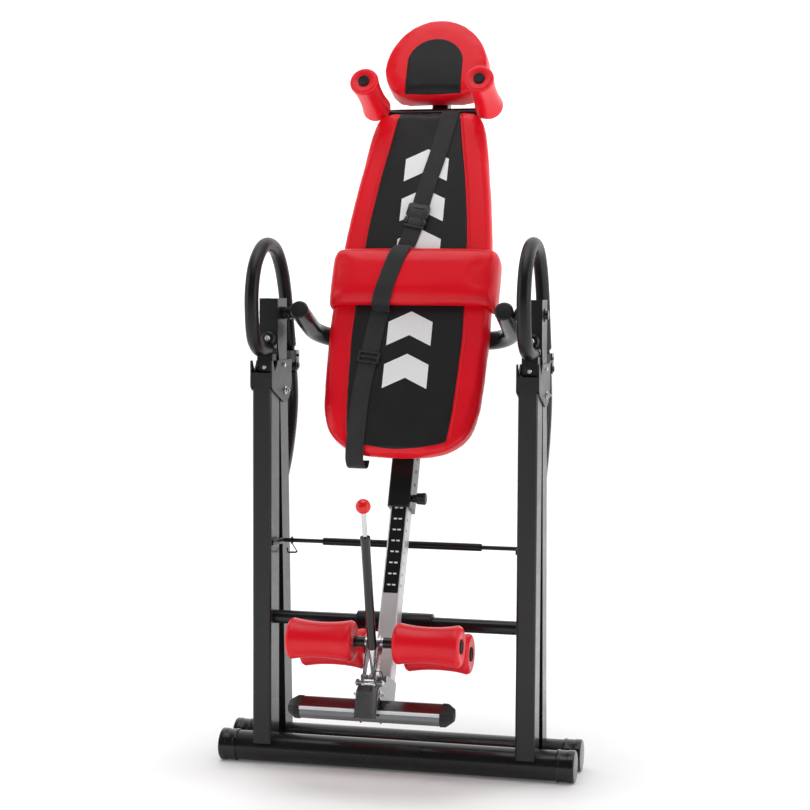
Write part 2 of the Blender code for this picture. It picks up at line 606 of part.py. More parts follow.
HEAD_ORIGIN = bed(0, SPINE_TOP, boom_mid)
post_mid, post_half = -0.020, 0.017
post = hollow_prism(rounded(0.0175, post_half, 0.003, cy=post_mid),
                    rounded(0.0155, post_half - WALL, 0.002, cy=post_mid), bed_xn, 0.800, 1.085)
head_plate = box(bed, (-0.030, 0.030), (1.000, 1.075),
                 (post_mid + post_half - 0.001, HEAD_BACK - GAP))
publish("head_post", combine(post, head_plate, how="UNION"), "black_steel", HEAD_ORIGIN)
head_half = ([(0.0, 0.970), (0.060, 0.970), (0.080, 0.976), (0.096, 0.990), (0.109, 1.012)]
             + [(0.115 * math.cos(math.radians(a)), 1.036 + 0.121 * math.sin(math.radians(a)))
                for a in range(0, 90, 10)] + [(0.0, 1.157)])
head_outline = head_half + [(-x, u) for x, u in reversed(head_half[1:-1])]
publish("headrest_pad", prism(head_outline, bed, HEAD_BACK, HEAD_FACE), "red_vinyl", HEAD_ORIGIN)

# ---------------------------------------------------------------- boom and height knob
BOOM_LOW, BOOM_HIGH = -0.306, 0.470
BOOM_ORIGIN = bed(0, 0, boom_mid)
boom = hollow_prism(rounded(BOOM_HALF_W, BOOM_D / 2, 0.003, cy=boom_mid),
                    rounded(BOOM_HALF_W - WALL, BOOM_D / 2 - WALL, 0.0015, cy=boom_mid),
                    bed_xn, BOOM_LOW, BOOM_HIGH)
HOLE_PITCH = 0.0226
holes = [rod(bed(0.010, KNOB[0] - HOLE_PITCH * k, KNOB[1]),
             bed(0.030, KNOB[0] - HOLE_PITCH * k, KNOB[1]), 0.0035, 8) for k in range(-1, 9)]
ankle_hole = rod(bed(-0.03, *REAR_ANKLE), bed(0.03, *REAR_ANKLE), ANKLE_BAR_R + GAP)
publish("boom_tube", combine(boom, *holes, ankle_hole), "brushed_steel", BOOM_ORIGIN)

publish("height_knob",
        lathe([(0, 0.0030), (0.0005, 0.0048), (0.0058, 0.0048), (0.0058, 0.0080), (0.0135, 0.0080),
               (0.0155, 0.0112), (0.0310, 0.0122), (0.0332, 0.0112), (0.0342, 0.0080)],
              bed(BOOM_HALF_W + 0.0004, *KNOB), (1, 0, 0), 14), "black_plastic",
        bed(SPINE_HALF_W, *KNOB))

# ---------------------------------------------------------------- foot bracket and footrest
def bed_nu(n, u, x):
    return bed(x, u, n)


PLATE_X = BOOM_HALF_W + GAP
BRACKET_FRONT, BRACKET_LOW = 0.102, -0.357
side_outline = [(-0.036, -0.262), (-0.036, -0.296), (0.010, -0.318), (0.049, -0.357),
                (0.0525, -0.357), (0.0525, -0.3160), (0.0980, -0.3160), (0.0980, BRACKET_LOW),
                (BRACKET_FRONT, BRACKET_LOW), (BRACKET_FRONT, -0.303), (0.092, -0.293),
                (0.040, -0.262)]
plates = [prism(side_outline, bed_nu, *sorted((e * PLATE_X, e * (PLATE_X + SHEET))))
          for e in (-1, 1)]
front = box(bed_nu, (0.0987, BRACKET_FRONT - 0.0003), (BRACKET_LOW + 0.0004, -0.3055),
            (-PLATE_X - SHEET / 2, PLATE_X + SHEET / 2))
rivets = [bolt(0, lambda x, spot=spot: bed(x, *spot), PLATE_X + SHEET - 0.0005, 0.004, 0.0065,
               0.0045, 1) for spot in (YOKE_PIN, LEVER_PIN)]
publish("foot_bracket", combine(plates[0], front, plates[1], *rivets, how="UNION"),
        "brushed_steel", BOOM_ORIGIN)

oct_r = 0.0218
octagon = [(FOOTREST[1] + oct_r * math.cos(math.radians(22.5 + 45 * k)) * 1.06,
            FOOTREST[0] + oct_r * math.sin(math.radians(22.5 + 45 * k)) * 0.98)
           for k in range(8)]
inner = [(FOOTREST[1] + (n - FOOTREST[1]) * 0.9, FOOTREST[0] + (u - FOOTREST[0]) * 0.9)
         for n, u in octagon]
FOOT_HALF = 0.1600
publish("footrest_tube", hollow_prism(octagon, inner, bed_nu, -FOOT_HALF + 0.0247,
                                      FOOT_HALF - 0.0247), "brushed_steel", BOOM_ORIGIN)
for side, s in SIDES.items():
    rings = [(0.0, 1.04), (0.016, 1.04), (0.0225, 0.92), (0.0244, 0.74)]
    bm = bmesh.new()
    skin = [[bm.verts.new(bed(s * (FOOT_HALF - 0.0244 + h),
                              FOOTREST[0] + (u - FOOTREST[0]) * k,
                              FOOTREST[1] + (n - FOOTREST[1]) * k)) for n, u in octagon]
            for h, k in rings]
    bridge(bm, skin)
    bm.faces.new(skin[0])
    bm.faces.new(list(reversed(skin[-1])))
    publish(f"footrest_cap_{side}", bm, "black_plastic", BOOM_ORIGIN)

# ---------------------------------------------------------------- ankle clamp
publish("rear_ankle_bar", rod(bed(-0.1685, *REAR_ANKLE), bed(0.1685, *REAR_ANKLE), ANKLE_BAR_R),
        "black_steel", BOOM_ORIGIN)
YOKE_ORIGIN = bed(0, *YOKE_PIN)
for row, spot, origin in (("front", FRONT_ANKLE, YOKE_ORIGIN), ("rear", REAR_ANKLE, BOOM_ORIGIN)):
    for side, s in SIDES.items():
        publish(f"{row}_ankle_roller_{side}",
                lathe(concave(ANKLE_OUT - ANKLE_IN, ANKLE_R, 0.0345, ANKLE_BAR_R + GAP, 0.009),
                      bed(s * ANKLE_IN, *spot), (s, 0, 0), 16, bore=True), "red_foam", origin)

link_run = Vector((FRONT_ANKLE[1] - YOKE_PIN[1], FRONT_ANKLE[0] - YOKE_PIN[0]))
link_dir = link_run.normalized()
link_side = Vector((-link_dir.y, link_dir.x))


def around(centre, radius, start, stop):
    points = []
    for i in range(7):
        a = math.radians(start + (stop - start) * i / 6)
        offset = math.cos(a) * link_side + math.sin(a) * link_dir
        points.append((centre[0] + radius * offset.x, centre[1] + radius * offset.y))
    return points


link_outline = (around((FRONT_ANKLE[1], FRONT_ANKLE[0]), 0.0135, 0, 180)
                + around((YOKE_PIN[1], YOKE_PIN[0]), 0.0085, 180, 360))
cheeks = [prism(link_outline, bed_nu, *sorted((e * 0.0104, e * 0.0134))) for e in (-1, 1)]
spacer = rod(bed(-0.0120, *YOKE_PIN), bed(0.0120, *YOKE_PIN), 0.0068)
ankle_bar = rod(bed(-0.1685, *FRONT_ANKLE), bed(0.1685, *FRONT_ANKLE), ANKLE_BAR_R)
yoke = combine(spacer, *cheeks, ankle_bar, how="UNION")
yoke_hole = rod(bed(-0.04, *YOKE_PIN), bed(0.04, *YOKE_PIN), 0.0043)
publish("clamp_yoke", combine(yoke, yoke_hole), "black_steel", YOKE_ORIGIN)

LEVER_ORIGIN = bed(0, *LEVER_PIN)
LEVER_DIR = math.sin(LEVER_LEAN) * N_DIR + math.cos(LEVER_LEAN) * U_DIR
LEVER_LEN = 0.352
foot = rod(bed(-0.0085, *LEVER_PIN), bed(0.0085, *LEVER_PIN), 0.0095, 20)
stem = lathe([(0.006, 0.0062), (0.062, 0.0062), (0.062, 0.0089), (0.286, 0.0089), (0.286, 0.0100),
              (0.292, 0.0100), (0.292, 0.0045), (LEVER_LEN - 0.012, 0.0045)],
             LEVER_ORIGIN, LEVER_DIR, 12)
lever = combine(stem, foot, how="UNION")
lever_hole = rod(bed(-0.04, *LEVER_PIN), bed(0.04, *LEVER_PIN), 0.0043)
publish("clamp_lever", combine(lever, lever_hole), "black_steel", LEVER_ORIGIN)
ball = [(-0.0120 + GAP, 0.0060)] + [(-0.0142 * math.cos(math.radians(a)),
                                     0.0142 * math.sin(math.radians(a)))
                                    for a in range(40, 180, 15)]
publish("lever_ball", lathe(ball, LEVER_ORIGIN + LEVER_DIR * LEVER_LEN, LEVER_DIR, 14),
        "red_plastic", LEVER_ORIGIN)
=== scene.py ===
"""Looks of the inversion table: soft goods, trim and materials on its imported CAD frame."""
from math import atan2, cos, exp, hypot, pi, radians, sin, sqrt, tan, tau

import bmesh
import bpy
from mathutils import Matrix, Vector, noise
from mathutils.bvhtree import BVHTree


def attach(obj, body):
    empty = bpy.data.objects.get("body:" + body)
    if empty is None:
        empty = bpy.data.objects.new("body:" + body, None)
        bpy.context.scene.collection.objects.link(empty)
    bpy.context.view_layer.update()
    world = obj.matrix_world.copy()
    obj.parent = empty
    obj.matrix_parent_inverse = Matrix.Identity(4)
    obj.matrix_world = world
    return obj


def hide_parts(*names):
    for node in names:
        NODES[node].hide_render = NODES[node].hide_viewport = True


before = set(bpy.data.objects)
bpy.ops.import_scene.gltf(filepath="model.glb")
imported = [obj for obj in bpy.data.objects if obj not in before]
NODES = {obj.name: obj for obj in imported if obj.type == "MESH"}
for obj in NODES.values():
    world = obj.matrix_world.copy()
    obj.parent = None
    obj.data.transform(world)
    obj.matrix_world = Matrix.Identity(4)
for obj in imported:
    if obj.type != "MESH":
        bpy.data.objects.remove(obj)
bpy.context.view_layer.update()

# --- frames and dimensions
ROW_Y = -0.0945                   # the part's own shift along Y
TILT = radians(22.85)
X_DIR = Vector((1, 0, 0))
U_DIR = Vector((0, sin(TILT), cos(TILT)))
N_DIR = Vector((0, -cos(TILT), sin(TILT)))
BED_ORIGIN = Vector((0, -0.0029 + ROW_Y, 0.45))

LEG_X, LEG_W = 0.27, 0.039
BASE_R, BASE_Z, BASE_HALF, CAP_R, TUBE_WALL = 0.03, 0.0305, 0.3535, 0.0325, 0.002
FRONT_Y, REAR_Y = 0.0066, 0.0975
FOLD_YZ, CLAMP_BOLT_YZ = (0.0565, 0.759), (0.045, 0.8115)
STAY_YZ = (0.1672, 0.806)
CROSSBAR_YZ, CROSSBAR_R = (0.003, 0.301), 0.0138
TIE_YZ, TIE_R = (0.055, 0.4508), 0.0042
PIVOT = (0.4493, 0.1366)          # u, n
SPINE_HALF_W, ARM_X, ARM_R = 0.023, 0.2104, 0.019
PAD_BACK, PAD_FACE = 0.0403, 0.079
SHOULDER_X, SHOULDER = 0.1225, (0.955, 0.03)
FRONT_ANKLE, REAR_ANKLE = (-0.207, 0.082), (-0.2006, -0.0172)
ANKLE_R, ANKLE_BAR_R, ANKLE_IN, ANKLE_OUT = 0.0398, 0.0095, 0.0405, 0.1705
FOOTREST = (-0.337, 0.075)
LEVER_PIN, LEVER_LEAN, LEVER_LEN = (-0.272, 0.059), radians(37.1), 0.352
YOKE_PIN, KNOB = (-0.287, 0.092), (0.1075, -0.008)
BOOM_HALF_W = 0.018
SIDES = {"left": -1, "right": 1}


def mm(*values, by=2):
    """Points in metres from a flat row of numbers in millimetres, by numbers to a point."""
    values = [round(v / 1000, 7) for v in values]
    return list(zip(*[iter(values)] * by))


def bed(x, u, n):
    """Point at x across, u up and n out of the bed."""
    return BED_ORIGIN + Vector((x, 0, 0)) + u * U_DIR + n * N_DIR


def at(x, y, z):
    """Point of the frame, measured from the uprights' middle plane."""
    return Vector((x, y + ROW_Y, z))


def bed_coords(p):
    d = p - BED_ORIGIN
    return p.x, d.dot(U_DIR), d.dot(N_DIR)


# --- materials
def add(tree, kind, inputs=None, **settings):
    """Shader node with its settings and inputs; an input is a value or another socket."""
    made = tree.nodes.new("ShaderNode" + kind)
    for name, value in settings.items():
        setattr(made, name, value)
    for name, value in (inputs or {}).items():
        if isinstance(value, bpy.types.NodeSocket):
            tree.links.new(value, made.inputs[name])
        else:
            made.inputs[name].default_value = value
    return made


def shader(name, colour, rough, metal=0.0, **sockets):
    mat = bpy.data.materials.new(name)
    mat.use_nodes = True
    bsdf = mat.node_tree.nodes["Principled BSDF"]
    bsdf.inputs["Base Color"].default_value = (*colour, 1)
    bsdf.inputs["Roughness"].default_value = rough
    bsdf.inputs["Metallic"].default_value = metal
    for socket, value in sockets.items():
        bsdf.inputs[socket.replace("_", " ")].default_value = value
    mat.diffuse_color = (*colour, 1)
    return mat, mat.node_tree, bsdf


def placed(tree, scale=(1, 1, 1), turn=(0, 0, 0), source="Object"):
    coords = add(tree, "TexCoord").outputs[source]
    return add(tree, "Mapping", {"Vector": coords, "Scale": scale, "Rotation": turn}).outputs[0]


def fractal(tree, where, scale, detail=3.0, rough=0.55):
    return add(tree, "TexNoise", {"Vector": where, "Scale": scale, "Detail": detail,
        "Roughness": rough}).outputs["Fac"]


def spread(tree, value, low, high, start=0.3, stop=0.7):
    return add(tree, "MapRange", {"Value": value, "From Min": start, "From Max": stop,
        "To Min": low, "To Max": high}).outputs[0]


def tint(tree, factor, dark, light):
    mix = add(tree, "Mix", {"Factor": factor}, data_type="RGBA")
    mix.inputs["A"].default_value = (*dark, 1)
    mix.inputs["B"].default_value = (*light, 1)
    return mix.outputs["Result"]


def maths(tree, operation, a, b=0.0):
    return add(tree, "Math", {0: a, 1: b}, operation=operation).outputs[0]


def shaded(colour, k):
    return tuple(min(c * k, 1.0) for c in colour)


def relief(tree, bsdf, heights):
    """Stacks bump maps; heights are (socket, strength, depth in metres)."""
    normal = None
    for height, strength, depth in heights:
        inputs = {"Height": height, "Strength": strength, "Distance": depth}
        if normal is not None:
            inputs["Normal"] = normal
        normal = add(tree, "Bump", inputs).outputs[0]
    tree.links.new(normal, bsdf.inputs["Normal"])


def use(tree, bsdf, colour=None, rough=None):
    if colour is not None:
        tree.links.new(colour, bsdf.inputs["Base Color"])
    if rough is not None:
        tree.links.new(rough, bsdf.inputs["Roughness"])


def edge_wear(tree, low=0.6, high=0.74):
    """Where edges stand out, broken up so that only scuffed spots show."""
    point = add(tree, "NewGeometry").outputs["Pointiness"]
    edge = spread(tree, point, 0.0, 1.0, low, high)
    patch = spread(tree, fractal(tree, placed(tree), 60, 4), 0.0, 1.0, 0.5, 0.72)
    return maths(tree, "MULTIPLY", edge, patch)


def textured(name, colour, rough, cloud, wear, **sockets):
    """Shader with drifting colour and roughness; cloud and wear are (scale, detail, low, high)."""
    mat, tree, bsdf = shader(name, colour, rough, **sockets)
    where = placed(tree)
    body = tint(tree, fractal(tree, where, *cloud[:2]), *(shaded(colour, k) for k in cloud[2:]))
    use(tree, bsdf, body, spread(tree, fractal(tree, where, *wear[:2]),
        *(rough * k for k in wear[2:])))
    return mat, tree, bsdf, where, body


def powder_coat(name, colour, rough, gloss=0.28):
    mat, tree, bsdf, where, body = textured(name, colour, rough, (9, 4, 0.9, 1.12),
        (26, 5, 0.86, 1.18), Coat_Weight=gloss, Coat_Roughness=0.1, Specular_IOR_Level=0.25)
    worn = add(tree, "Mix", {"Factor": edge_wear(tree), "A": body}, data_type="RGBA")
    worn.inputs["B"].default_value = (*shaded(colour, 4.0), 1)
    use(tree, bsdf, worn.outputs["Result"])
    relief(tree, bsdf, [(fractal(tree, where, 1100, 2), 0.2, 0.0002),
        (fractal(tree, where, 14, 2), 0.1, 0.0006)])
    return mat


def moulded(name, colour, rough, grain=900.0, depth=0.25):
    mat, tree, bsdf, where, _ = textured(name, colour, rough, (18, 3, 0.8, 1.4),
        (40, 4, 0.88, 1.15), Specular_IOR_Level=0.45)
    relief(tree, bsdf, [(fractal(tree, where, grain, 2), depth, 0.00025)])
    return mat


def foam(name, colour, rough, sheen=0.15):
    """Closed-cell foam: fine pores under a soft skin."""
    mat, tree, bsdf, where, _ = textured(name, colour, rough, (11, 4, 0.88, 1.08),
        (60, 4, 0.9, 1.12), Sheen_Weight=sheen, Sheen_Roughness=0.45, Specular_IOR_Level=0.35)
    cells = add(tree, "TexVoronoi", {"Vector": where, "Scale": 850.0}).outputs["Distance"]
    relief(tree, bsdf, [(cells, 0.16, 0.0003), (fractal(tree, where, 45, 3), 0.1, 0.0008)])
    return mat


def leather_relief(tree, bsdf, where):
    cells = add(tree, "TexVoronoi", {"Vector": where, "Scale": 520.0},
        feature="SMOOTH_F1").outputs["Distance"]
    relief(tree, bsdf, [(cells, 0.22, 0.0003), (fractal(tree, where, 240, 3), 0.12, 0.0003),
        (fractal(tree, where, 22, 3), 0.14, 0.0016)])


def vinyl(name, colour, rough):
    mat, tree, bsdf, where, _ = textured(name, colour, rough, (7, 4, 0.87, 1.06),
        (30, 4, 0.88, 1.15), Coat_Weight=0.06, Coat_Roughness=0.3, Specular_IOR_Level=0.28)
    leather_relief(tree, bsdf, where)
    return mat


def steel(name, colour, rough, along=(0, 0, 0), streak=(900, 900, 14), metal=1.0):
    """Brushed or plated steel with streaks along the turned Z axis."""
    mat, tree, bsdf = shader(name, colour, rough, metal)
    lines = fractal(tree, placed(tree, streak, along), 1.0, 3, 0.65)
    cloud = fractal(tree, placed(tree), 24, 4)
    use(tree, bsdf, tint(tree, cloud, shaded(colour, 0.86), shaded(colour, 1.06)),
        spread(tree, lines, rough * 0.8, rough * 1.3))
    relief(tree, bsdf, [(lines, 0.08, 0.0002)])
    return mat


def printed_vinyl(name):
    """Black upholstery with a white chevron print; its UVs are metres across and up the bed."""
    base, white = (0.0075, 0.0075, 0.0083), (0.95, 0.95, 0.95)
    mat, tree, bsdf = shader(name, base, 0.5, Specular_IOR_Level=0.3)
    where = placed(tree)
    across_up = add(tree, "SeparateXYZ", {0: add(tree, "TexCoord").outputs["UV"]})
    x, u = across_up.outputs[0], across_up.outputs[1]

    side = maths(tree, "ABSOLUTE", maths(tree, "SUBTRACT", x, PRINT_X))
    climb = maths(tree, "ADD", u, maths(tree, "MULTIPLY", side, PRINT_SLOPE))
    phase = maths(tree, "FRACT", maths(tree, "DIVIDE", maths(tree, "SUBTRACT", climb, PRINT_LOW),
        PRINT_PITCH))
    bar = maths(tree, "LESS_THAN", phase, PRINT_SHARE)
    for mask in (maths(tree, "LESS_THAN", side, PRINT_HALF), maths(tree, "GREATER_THAN", climb,
            PRINT_LOW), maths(tree, "LESS_THAN", climb, PRINT_HIGH)):
        bar = maths(tree, "MULTIPLY", bar, mask)
    cloth = tint(tree, fractal(tree, where, 12, 4), shaded(base, 0.8), shaded(base, 1.6))
    ink = tint(tree, fractal(tree, where, 16, 4), (0.84, 0.84, 0.85), white)
    mix = add(tree, "Mix", {"Factor": bar, "A": cloth, "B": ink}, data_type="RGBA")
    use(tree, bsdf, mix.outputs["Result"], spread(tree, fractal(tree, where, 30, 4), 0.44, 0.58))
    leather_relief(tree, bsdf, where)
    return mat


def webbing(name, colour):
    """Woven strap; its UVs are metres across and along it."""
    mat, tree, bsdf = shader(name, colour, 0.62, Sheen_Weight=0.08, Sheen_Roughness=0.4)
    flat = placed(tree, source="UV")
    warp = add(tree, "TexWave", {"Vector": flat, "Scale": 150.0, "Distortion": 0.4},
        bands_direction="X").outputs["Fac"]
    weft = add(tree, "TexWave", {"Vector": flat, "Scale": 110.0, "Distortion": 0.4},
        bands_direction="Y").outputs["Fac"]
    weave = maths(tree, "MULTIPLY", warp, weft)
    fuzz = fractal(tree, placed(tree), 30, 5)
    shade = maths(tree, "ADD", weave, fuzz)
    use(tree, bsdf, tint(tree, spread(tree, shade, 0, 1, 0.2, 1.5), shaded(colour, 0.55),
        shaded(colour, 2.0)), spread(tree, weave, 0.72, 0.52))
    relief(tree, bsdf, [(weave, 0.55, 0.0005)])
    return mat


def plywood(name):
    dark, light = (0.28, 0.17, 0.085), (0.5, 0.34, 0.19)
    mat, tree, bsdf = shader(name, light, 0.62)
    where = placed(tree, (55, 55, 5), (TILT, 0, 0))
    grain = fractal(tree, where, 1.6, 6, 0.6)
    rings = add(tree, "TexWave", {"Vector": where, "Scale": 0.5, "Distortion": 7.0, "Detail": 3.0},
        bands_direction="X").outputs["Fac"]
    both = maths(tree, "MULTIPLY", grain, rings)
    use(tree, bsdf, tint(tree, spread(tree, both, 0, 1, 0.1, 0.6), dark, light),
        spread(tree, grain, 0.5, 0.75))
    relief(tree, bsdf, [(grain, 0.25, 0.0004)])
    return mat


RED = (0.84, 0.004, 0.016)
PRINT_X, PRINT_HALF, PRINT_SLOPE = 0.006, 0.046, 0.5
PRINT_LOW, PRINT_HIGH, PRINT_PITCH, PRINT_SHARE = 0.333, 0.88, 0.092, 0.56

MAT = {
    "steel": powder_coat("black_powder_coat", (0.01, 0.01, 0.0108), 0.3),
    "bracket": powder_coat("black_bracket_coat", (0.012, 0.012, 0.013), 0.36, 0.15),
    "lever": powder_coat("lever_gloss_coat", (0.004, 0.004, 0.0045), 0.14, 0.6),
    "plastic": moulded("black_moulded_plastic", (0.0085, 0.0085, 0.0092), 0.32),
    "cap": moulded("black_cap_plastic", (0.0085, 0.0085, 0.0092), 0.2, 900.0, 0.06),
    "foot_cap": moulded("black_foot_cap", (0.0012, 0.0012, 0.0014), 0.55, 900.0, 0.1),
    "clip": moulded("grey_clip_plastic", (0.028, 0.028, 0.029), 0.28, 900.0, 0.1),
    "plug": moulded("black_plug_plastic", (0.003, 0.003, 0.0033), 0.7),
    "grip": foam("black_foam", (0.0035, 0.0035, 0.0038), 0.38, 0.0),
    "roller": foam("red_roller_foam", (0.84, 0.0045, 0.018), 0.34, 0.0),
    "vinyl": vinyl("red_vinyl", RED, 0.36),
    "inset": vinyl("black_vinyl", (0.008, 0.008, 0.0088), 0.5),
    "print": printed_vinyl("black_vinyl_chevrons"),
    "thread": moulded("black_thread", (0.02, 0.018, 0.018), 0.6, 2200.0, 0.6),
    "red_thread": moulded("red_thread", (0.45, 0.01, 0.015), 0.6, 2200.0, 0.6),
    "chrome": steel("chrome", (0.55, 0.55, 0.57), 0.14, (0, 0, 0), (300, 300, 300)),
    "zinc": steel("zinc_plate", (0.62, 0.62, 0.64), 0.26, (0, 0, 0), (260, 260, 260)),
    "boom": steel("brushed_boom", (0.72, 0.74, 0.755), 0.38, (TILT, 0, 0), metal=0.32),
    "foot_steel": steel("foot_plate_steel", (0.25, 0.25, 0.26), 0.3, (TILT, 0, 0), metal=0.85),
    "foot_tube": steel("foot_tube_steel", (0.15, 0.15, 0.155), 0.2, (0, pi / 2, 0)),
    "ball": moulded("red_ball_plastic", (0.8, 0.012, 0.01), 0.12, 60.0, 0.03),
    "belt": webbing("black_webbing", (0.012, 0.012, 0.013)),
    "scale": moulded("scale_strip_black", (0.007, 0.007, 0.0075), 0.3, 500.0, 0.05),
    "dash": moulded("scale_strip_white", (0.95, 0.95, 0.95), 0.4, 500.0, 0.05),
    "wood": plywood("birch_plywood"),
}
SLOT_MATERIALS = {
    "black_steel": "steel lever",
    "black_plastic": "plastic cap foot_cap clip plug scale dash",
    "black_foam": "grip",
    "red_foam": "roller",
    "red_vinyl": "vinyl inset print",
    "red_plastic": "ball",
    "black_webbing": "belt",
    "brushed_steel": "boom foot_tube",
}
SLOTS = {mat: slot for slot, mats in SLOT_MATERIALS.items() for mat in mats.split()}


# --- mesh tools
def piece(name, bm, mat, body, replaces=(), slot=None, sharp=35.0):
    """Object from a bmesh in the part's frame, riding on a CAD body."""
    bmesh.ops.recalc_face_normals(bm, faces=bm.faces)
    mesh = bpy.data.meshes.new(name)
    bm.to_mesh(mesh)
    bm.free()
    return dress(bpy.data.objects.new(name, mesh), mat, body, replaces, slot, sharp)


def dress(obj, mat, body, replaces=(), slot=None, sharp=35.0):
    """Material, shading and body; a colour slot is worked out from the material unless given, but
    it is not stored.
    """
    if obj.name not in bpy.context.scene.collection.objects:
        bpy.context.scene.collection.objects.link(obj)
    obj.data.materials.clear()
    obj.data.materials.append(MAT[mat])
    obj.data.shade_smooth()
    obj.data.set_sharp_from_angle(angle=radians(sharp))
    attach(obj, body)
    if replaces:
        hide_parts(*replaces)
    slot = slot or SLOTS.get(mat)
    return obj


def bridge(bm, rings, closed=False):
    """Skins rings of vertices; closed joins the last to the first, else both ends get a face."""
    pairs = list(zip(rings, rings[1:]))
    if closed:
        pairs.append((rings[-1], rings[0]))
    for a, b in pairs:
        for i in range(len(a)):
            j = (i + 1) % len(a)
            bm.faces.new((a[i], a[j], b[j], b[i]))
    if not closed:
        bm.faces.new(rings[0])
        bm.faces.new(rings[-1][::-1])


def circle(bm, centre, radius, side, other, count):
    return [bm.verts.new(centre + radius * (cos(tau * i / count) * side + sin(tau * i / count)
        * other)) for i in range(count)]


def softened(points, radius, steps=4):
    """2D or 3D polyline with its inner corners rounded as far as its legs allow."""
    points = [Vector(p) for p in points]
    path = [points[0]]
    for before, corner, after in zip(points, points[1:], points[2:]):
        a, b = before - corner, after - corner
        half = a.angle(b) / 2
        if half > radians(86):
            path.append(corner)
            continue
        reach = min(radius / tan(half), 0.48 * a.length, 0.48 * b.length)
        start, stop = corner + a.normalized() * reach, corner + b.normalized() * reach
        for i in range(steps + 1):
            t = i / steps
            path.append((1 - t) ** 2 * start + 2 * t * (1 - t) * corner + t * t * stop)
    return path + [points[-1]]


def lathe(profile, origin, axis, sides=40, bore=False, bm=None):
    """Turned shape; profile is (distance along the axis, radius)."""
    axis = Vector(axis).normalized()
    side = axis.orthogonal().normalized()
    other = axis.cross(side)
    bm = bm or bmesh.new()
    bridge(bm, [circle(bm, Vector(origin) + along * axis, radius, side, other, sides)
        for along, radius in profile], closed=bore)
    return bm


def turned(profile, radius=0.0008, steps=3):
    """Flat profile with its corners rounded."""
    return [(p.x, p.y) for p in softened(profile, radius, steps)]


def spline(points, steps):
    points = [Vector(p) for p in points]
    ends = [2 * points[0] - points[1]] + points + [2 * points[-1] - points[-2]]
    curve = []
    for a, b, c, d in zip(ends, ends[1:], ends[2:], ends[3:]):
        for i in range(steps):
            t = i / steps
            curve.append(0.5 * (2 * b + (c - a) * t + (2 * a - 5 * b + 4 * c - d) * t * t
                + (3 * b - a - 3 * c + d) * t ** 3))
    return curve + [points[-1]]


def sweep(path, radius, side, sides=24, bore=None, bm=None, ends=0.0):
    """Round bar along a path in the plane normal to side; ends rounds its rims."""
    side = Vector(side).normalized()
    bm = bm or bmesh.new()
    spots = [Vector(p) for p in path]
    tangents = [(spots[min(i + 1, len(spots) - 1)] - spots[max(i - 1, 0)]).normalized()
        for i in range(len(spots))]

    def ring(i, r, out=0.0):
        return circle(bm, spots[i] + tangents[i] * out, r, side,
            tangents[i].cross(side).normalized(), sides)

    rings = [ring(i, radius) for i in range(len(spots))]
    if ends:
        rims = [(radius - ends * (1 - cos(a)), ends * sin(a)) for a in map(radians,
            (22, 45, 67, 90))]
        start, stop = [ring(0, r, -out) for r, out in rims], [ring(-1, r, out) for r, out in rims]
        rings = start[::-1] + rings + stop
    if bore:
        rings += [ring(i, bore) for i in range(len(spots))][::-1]
    bridge(bm, rings, closed=bool(bore))
    return bm


def loft(rings, place):
    """Closed shape from outlines at rising heights; rings are (outline, height)."""
    bm = bmesh.new()
    bridge(bm, [[bm.verts.new(place(p, q, h)) for p, q in outline] for outline, h in rings])
    return bm


def prism(outline, place, low, high):
    return loft([(outline, low), (outline, high)], place)


def rounded(half_w, half_h, radius, cx=0.0, cy=0.0, steps=5):
    points = []
    for k, (sx, sy) in enumerate([(1, 1), (-1, 1), (-1, -1), (1, -1)]):
        for i in range(steps + 1):
            a = radians(90 * k + 90 * i / steps)
            points.append((cx + sx * (half_w - radius) + radius * cos(a),
                cy + sy * (half_h - radius) + radius * sin(a)))
    return points


def bevelled(bm, width, segments=3, angle=40.0):
    bmesh.ops.recalc_face_normals(bm, faces=bm.faces)
    sharp = [e for e in bm.edges if len(e.link_faces) == 2
        and e.calc_face_angle(0.0) > radians(angle)]
    bmesh.ops.bevel(bm, geom=sharp, offset=width, offset_type="OFFSET", segments=segments,
        profile=0.6, affect="EDGES", clamp_overlap=True)
    return bm


def block(outline, place, low, high, width=0.001, segments=2):
    return bevelled(prism(outline, place, low, high), width, segments)


def joined(name, parts, mat, body, replaces=(), slot=None, sharp=35.0):
    """One piece from several closed shapes that touch."""
    whole = bmesh.new()
    for part in parts:
        mesh = bpy.data.meshes.new("part")
        part.to_mesh(mesh)
        part.free()
        whole.from_mesh(mesh)
        bpy.data.meshes.remove(mesh)
    return piece(name, whole, mat, body, replaces, slot, sharp)


WASHER = 0.0013


def hex_bolt(name, origin, axis, body, flats, head, washer=False, mat="zinc"):
    """Bolt head: a chamfered hexagon, on a washer if it has one."""
    bm = bmesh.new()
    start = 0.0
    if washer:
        lathe(turned([(0, 0.0028), (0, flats * 0.86), (WASHER, flats * 0.86), (WASHER, 0.0028)],
            0.0003, 2), origin, axis, 28, bm=bm)
        start = WASHER
    outer = flats / 2 / cos(radians(30))
    lathe([(start, outer), (start + head * 0.82, outer), (start + head, outer * 0.86)], origin,
        axis, 6, bm=bm)
    return piece(name, bm, mat, body, sharp=25)


def nut_end(name, origin, axis, body, size, mat="zinc"):
    """Bolt end: washer, hexagon nut and the thread standing out of it."""
    axis = Vector(axis).normalized()
    hex_bolt(name, origin, axis, body, size, size * 0.42, True, mat)
    tip = lathe(turned([(0, 0.0001), (0, size * 0.27), (size * 0.3, size * 0.27),
        (size * 0.38, size * 0.18), (size * 0.38, 0.0001)], 0.0003),
        Vector(origin) + axis * (WASHER + size * 0.42), axis, 20)
    piece(f"{name}_tip", tip, mat, body, slot="chrome")


